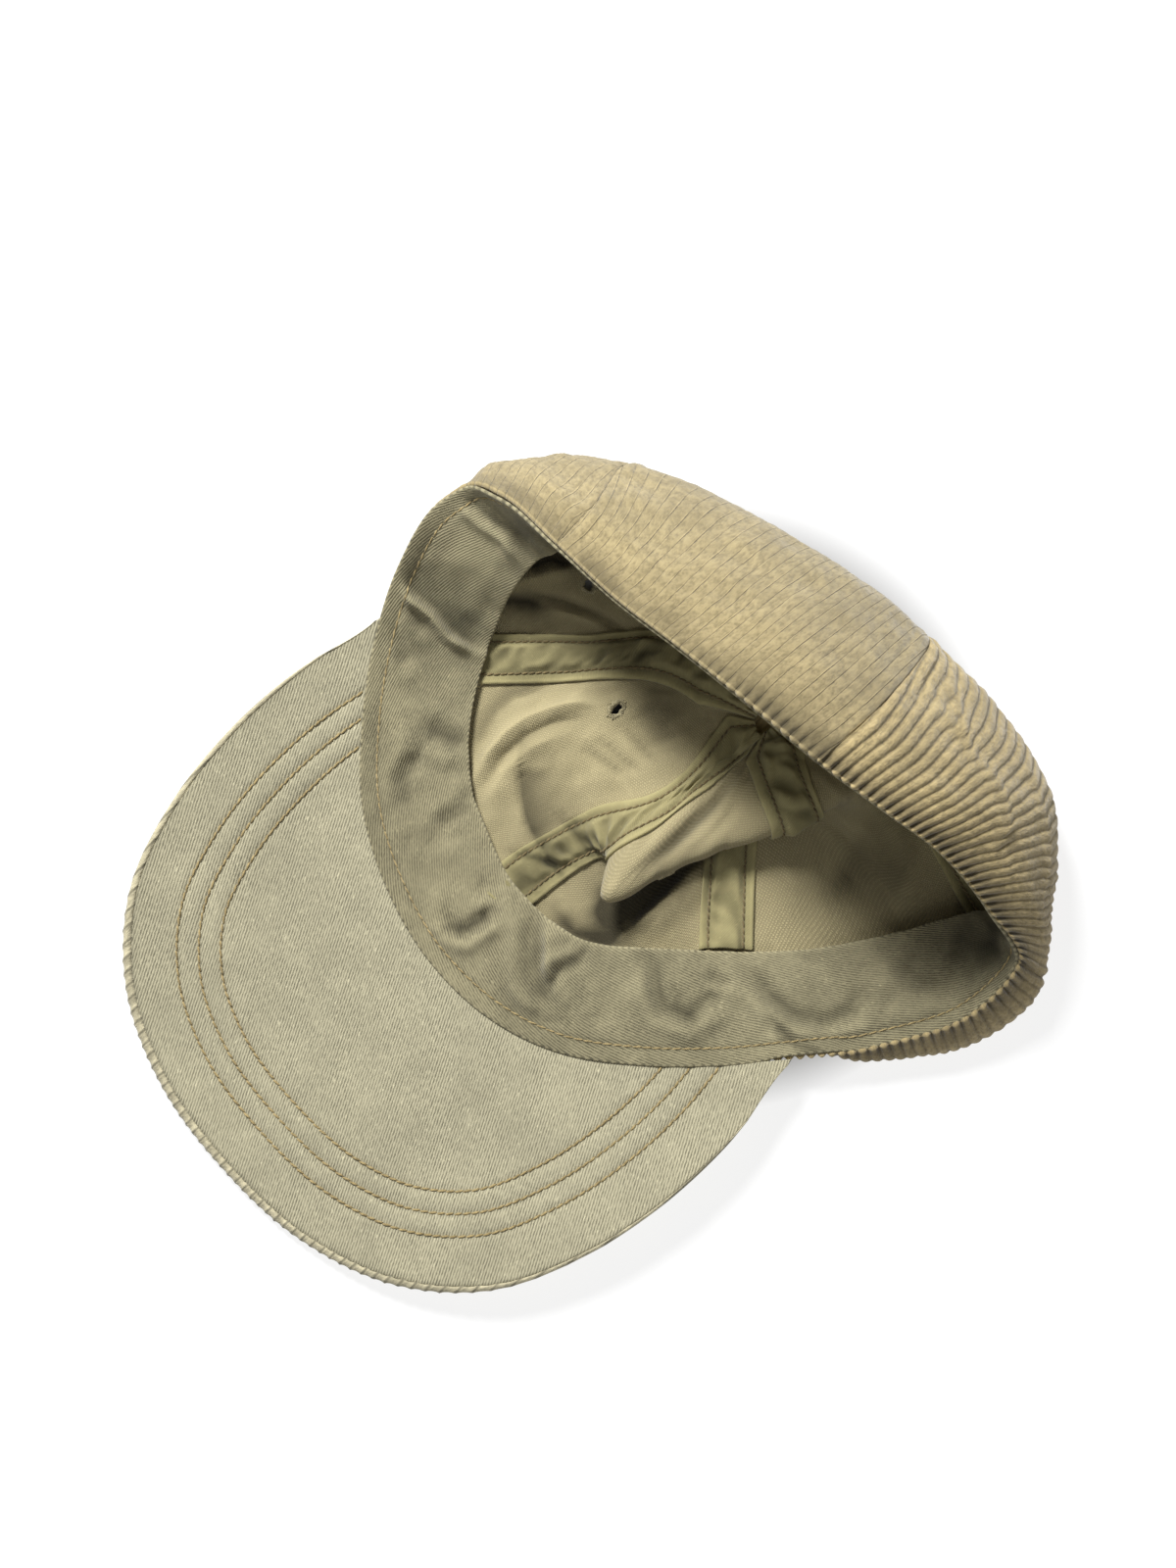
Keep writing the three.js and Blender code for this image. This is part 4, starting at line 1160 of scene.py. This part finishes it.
def bill_cover():
    """The corduroy face of the bill, wrapped round its edge onto the upper side."""
    columns, rows = 560, 40
    share = shares(columns)
    seam, edge = bill_line(share)
    span = length(edge - seam)[:, None]
    wrap = np.minimum((WRAP_LEFT + (WRAP_RIGHT - WRAP_LEFT) * share)[:, None], 0.45 * span)
    crest = BILL_CREST + 0.2
    half = crest / 2
    deep = np.minimum(half, wrap)
    arc = np.pi * shares(12)[None, :]
    parts = [
        (span + (deep - span) * shares(rows)[None, :-1], np.zeros((1, rows))),
        (deep * (1 - np.sin(arc)), half * (1 - np.cos(arc))),
        (wrap + np.zeros((1, 2)), np.array([[crest - 0.3, COVER + 0.4]])),
        (wrap + (span - wrap) * shares(8)[None, :], np.full((1, 9), COVER)),
    ]
    inset, height = (np.concatenate([
        np.broadcast_to(part[k], (columns + 1, part[k].shape[1])) for part in parts], axis=1) for k in (0, 1))
    points = bill_place(seam, edge, inset, height)
    count = points.shape[1]
    ribbed = np.arange(count) < rows + 14
    phase = points[..., 0] / WALE_PITCH
    wale = ribs(phase, 0.6)
    normal = unit(np.cross(np.gradient(points, axis=0), np.gradient(points, axis=1)))
    way = unit(np.gradient(edge, axis=0))
    across_wales = (0.15 + 0.85 * step(np.abs(way[:, 0]), 0.3, 0.8))[:, None]
    points = above(points + normal * (0.5 * (1 - wale) * ribbed * across_wales)[..., None])
    first = np.arange(count)[None, ::-1]
    last = columns * count + np.arange(count)[None, :]
    make_piece(
        "bill_corduroy", points, [(grid_faces(columns + 1, count, False), 0), (first, 0), (last, 0)],
        ["corduroy_edge"], ["bill_cover"],
        {"cloth": points, "phase": phase, "tone": 0 * phase})


bill_underside()
bill_cover()


# Stage, light and camera

# The camera looks down at 84 degrees. Its place and target are in millimetres.
CAMERA_PLACE = np.array([17.864, -9.434, 517.151])
CAMERA_TARGET = np.array([-21.880, 27.646, 0.0])
CAMERA_RIGHT = np.array([0.682, 0.731, 0.0])
CAMERA_LENS = 39.55
SENSOR = 36.0

# The floor, in metres: it glows white beyond the cap, so that only its shadow shows on it.
FLOOR_HALF = 4.0
FLOOR_DROP = 0.0001
FLOOR_COLOUR = (0.27, 0.27, 0.27)
GLOW_CENTRE = (0, 0.05, 0)
GLOW_FROM = 0.075
GLOW_TO = 0.095
GLOW = 0.8
WORLD_LIGHT = 0.2

# Columns: name, place in metres, size, power.
LIGHTS = [
    ("key", (-0.60, 0.21, 0.64), 0.26, 13),
    ("fill", (0.5, -0.5, 0.9), 0.8, 1.8),
]


def make_camera():
    data = bpy.data.cameras.new("camera")
    data.lens = CAMERA_LENS
    data.sensor_width = SENSOR
    camera = add_object("camera", data)
    back = unit(CAMERA_PLACE - CAMERA_TARGET)
    right = unit(CAMERA_RIGHT - back * (CAMERA_RIGHT @ back))
    matrix = np.eye(4)
    matrix[:3] = np.stack([right, np.cross(back, right), back, (CAMERA_PLACE + CENTRE_SHIFT) * MM], axis=1)
    camera.matrix_world = Matrix(matrix.tolist())
    bpy.context.scene.camera = camera


def area_light(name, place, size, power):
    data = bpy.data.lights.new(name, "AREA")
    data.shape = "DISK"
    data.size = size
    data.energy = power
    light = add_object(name, data)
    light.location = place
    light.rotation_euler = (-Vector(place)).to_track_quat("-Z", "Y").to_euler()


def make_floor():
    n = Nodes("floor_white")
    n.set({"Base Color": (*FLOOR_COLOUR, 1), "Roughness": 1.0, "Emission Color": (1, 1, 1, 1)})
    place = n.add("ShaderNodeNewGeometry").outputs["Position"]
    reach = n.add("ShaderNodeVectorMath", {0: place, 1: GLOW_CENTRE}, operation="DISTANCE").outputs["Value"]
    glow = n.ramp(reach, GLOW_FROM, GLOW_TO, GLOW, "LINEAR")
    n.tree.links.new(glow, n.shader.inputs["Emission Strength"])
    mesh = bpy.data.meshes.new("floor")
    corners = [(x * FLOOR_HALF, y * FLOOR_HALF, 0) for x, y in ((-1, -1), (1, -1), (1, 1), (-1, 1))]
    mesh.from_pydata(corners, [], [(0, 1, 2, 3)])
    mesh.materials.append(n.material)
    floor = add_object("floor", mesh)
    floor.location.z = -FLOOR_DROP


def make_world():
    world = bpy.data.worlds.new("world")
    world.use_nodes = True
    background = world.node_tree.nodes["Background"]
    background.inputs["Color"].default_value = (1, 1, 1, 1)
    background.inputs["Strength"].default_value = WORLD_LIGHT
    bpy.context.scene.world = world


make_camera()
make_floor()
make_world()
for light_row in LIGHTS:
    area_light(*light_row)
bpy.context.scene.view_settings.view_transform = "Standard"
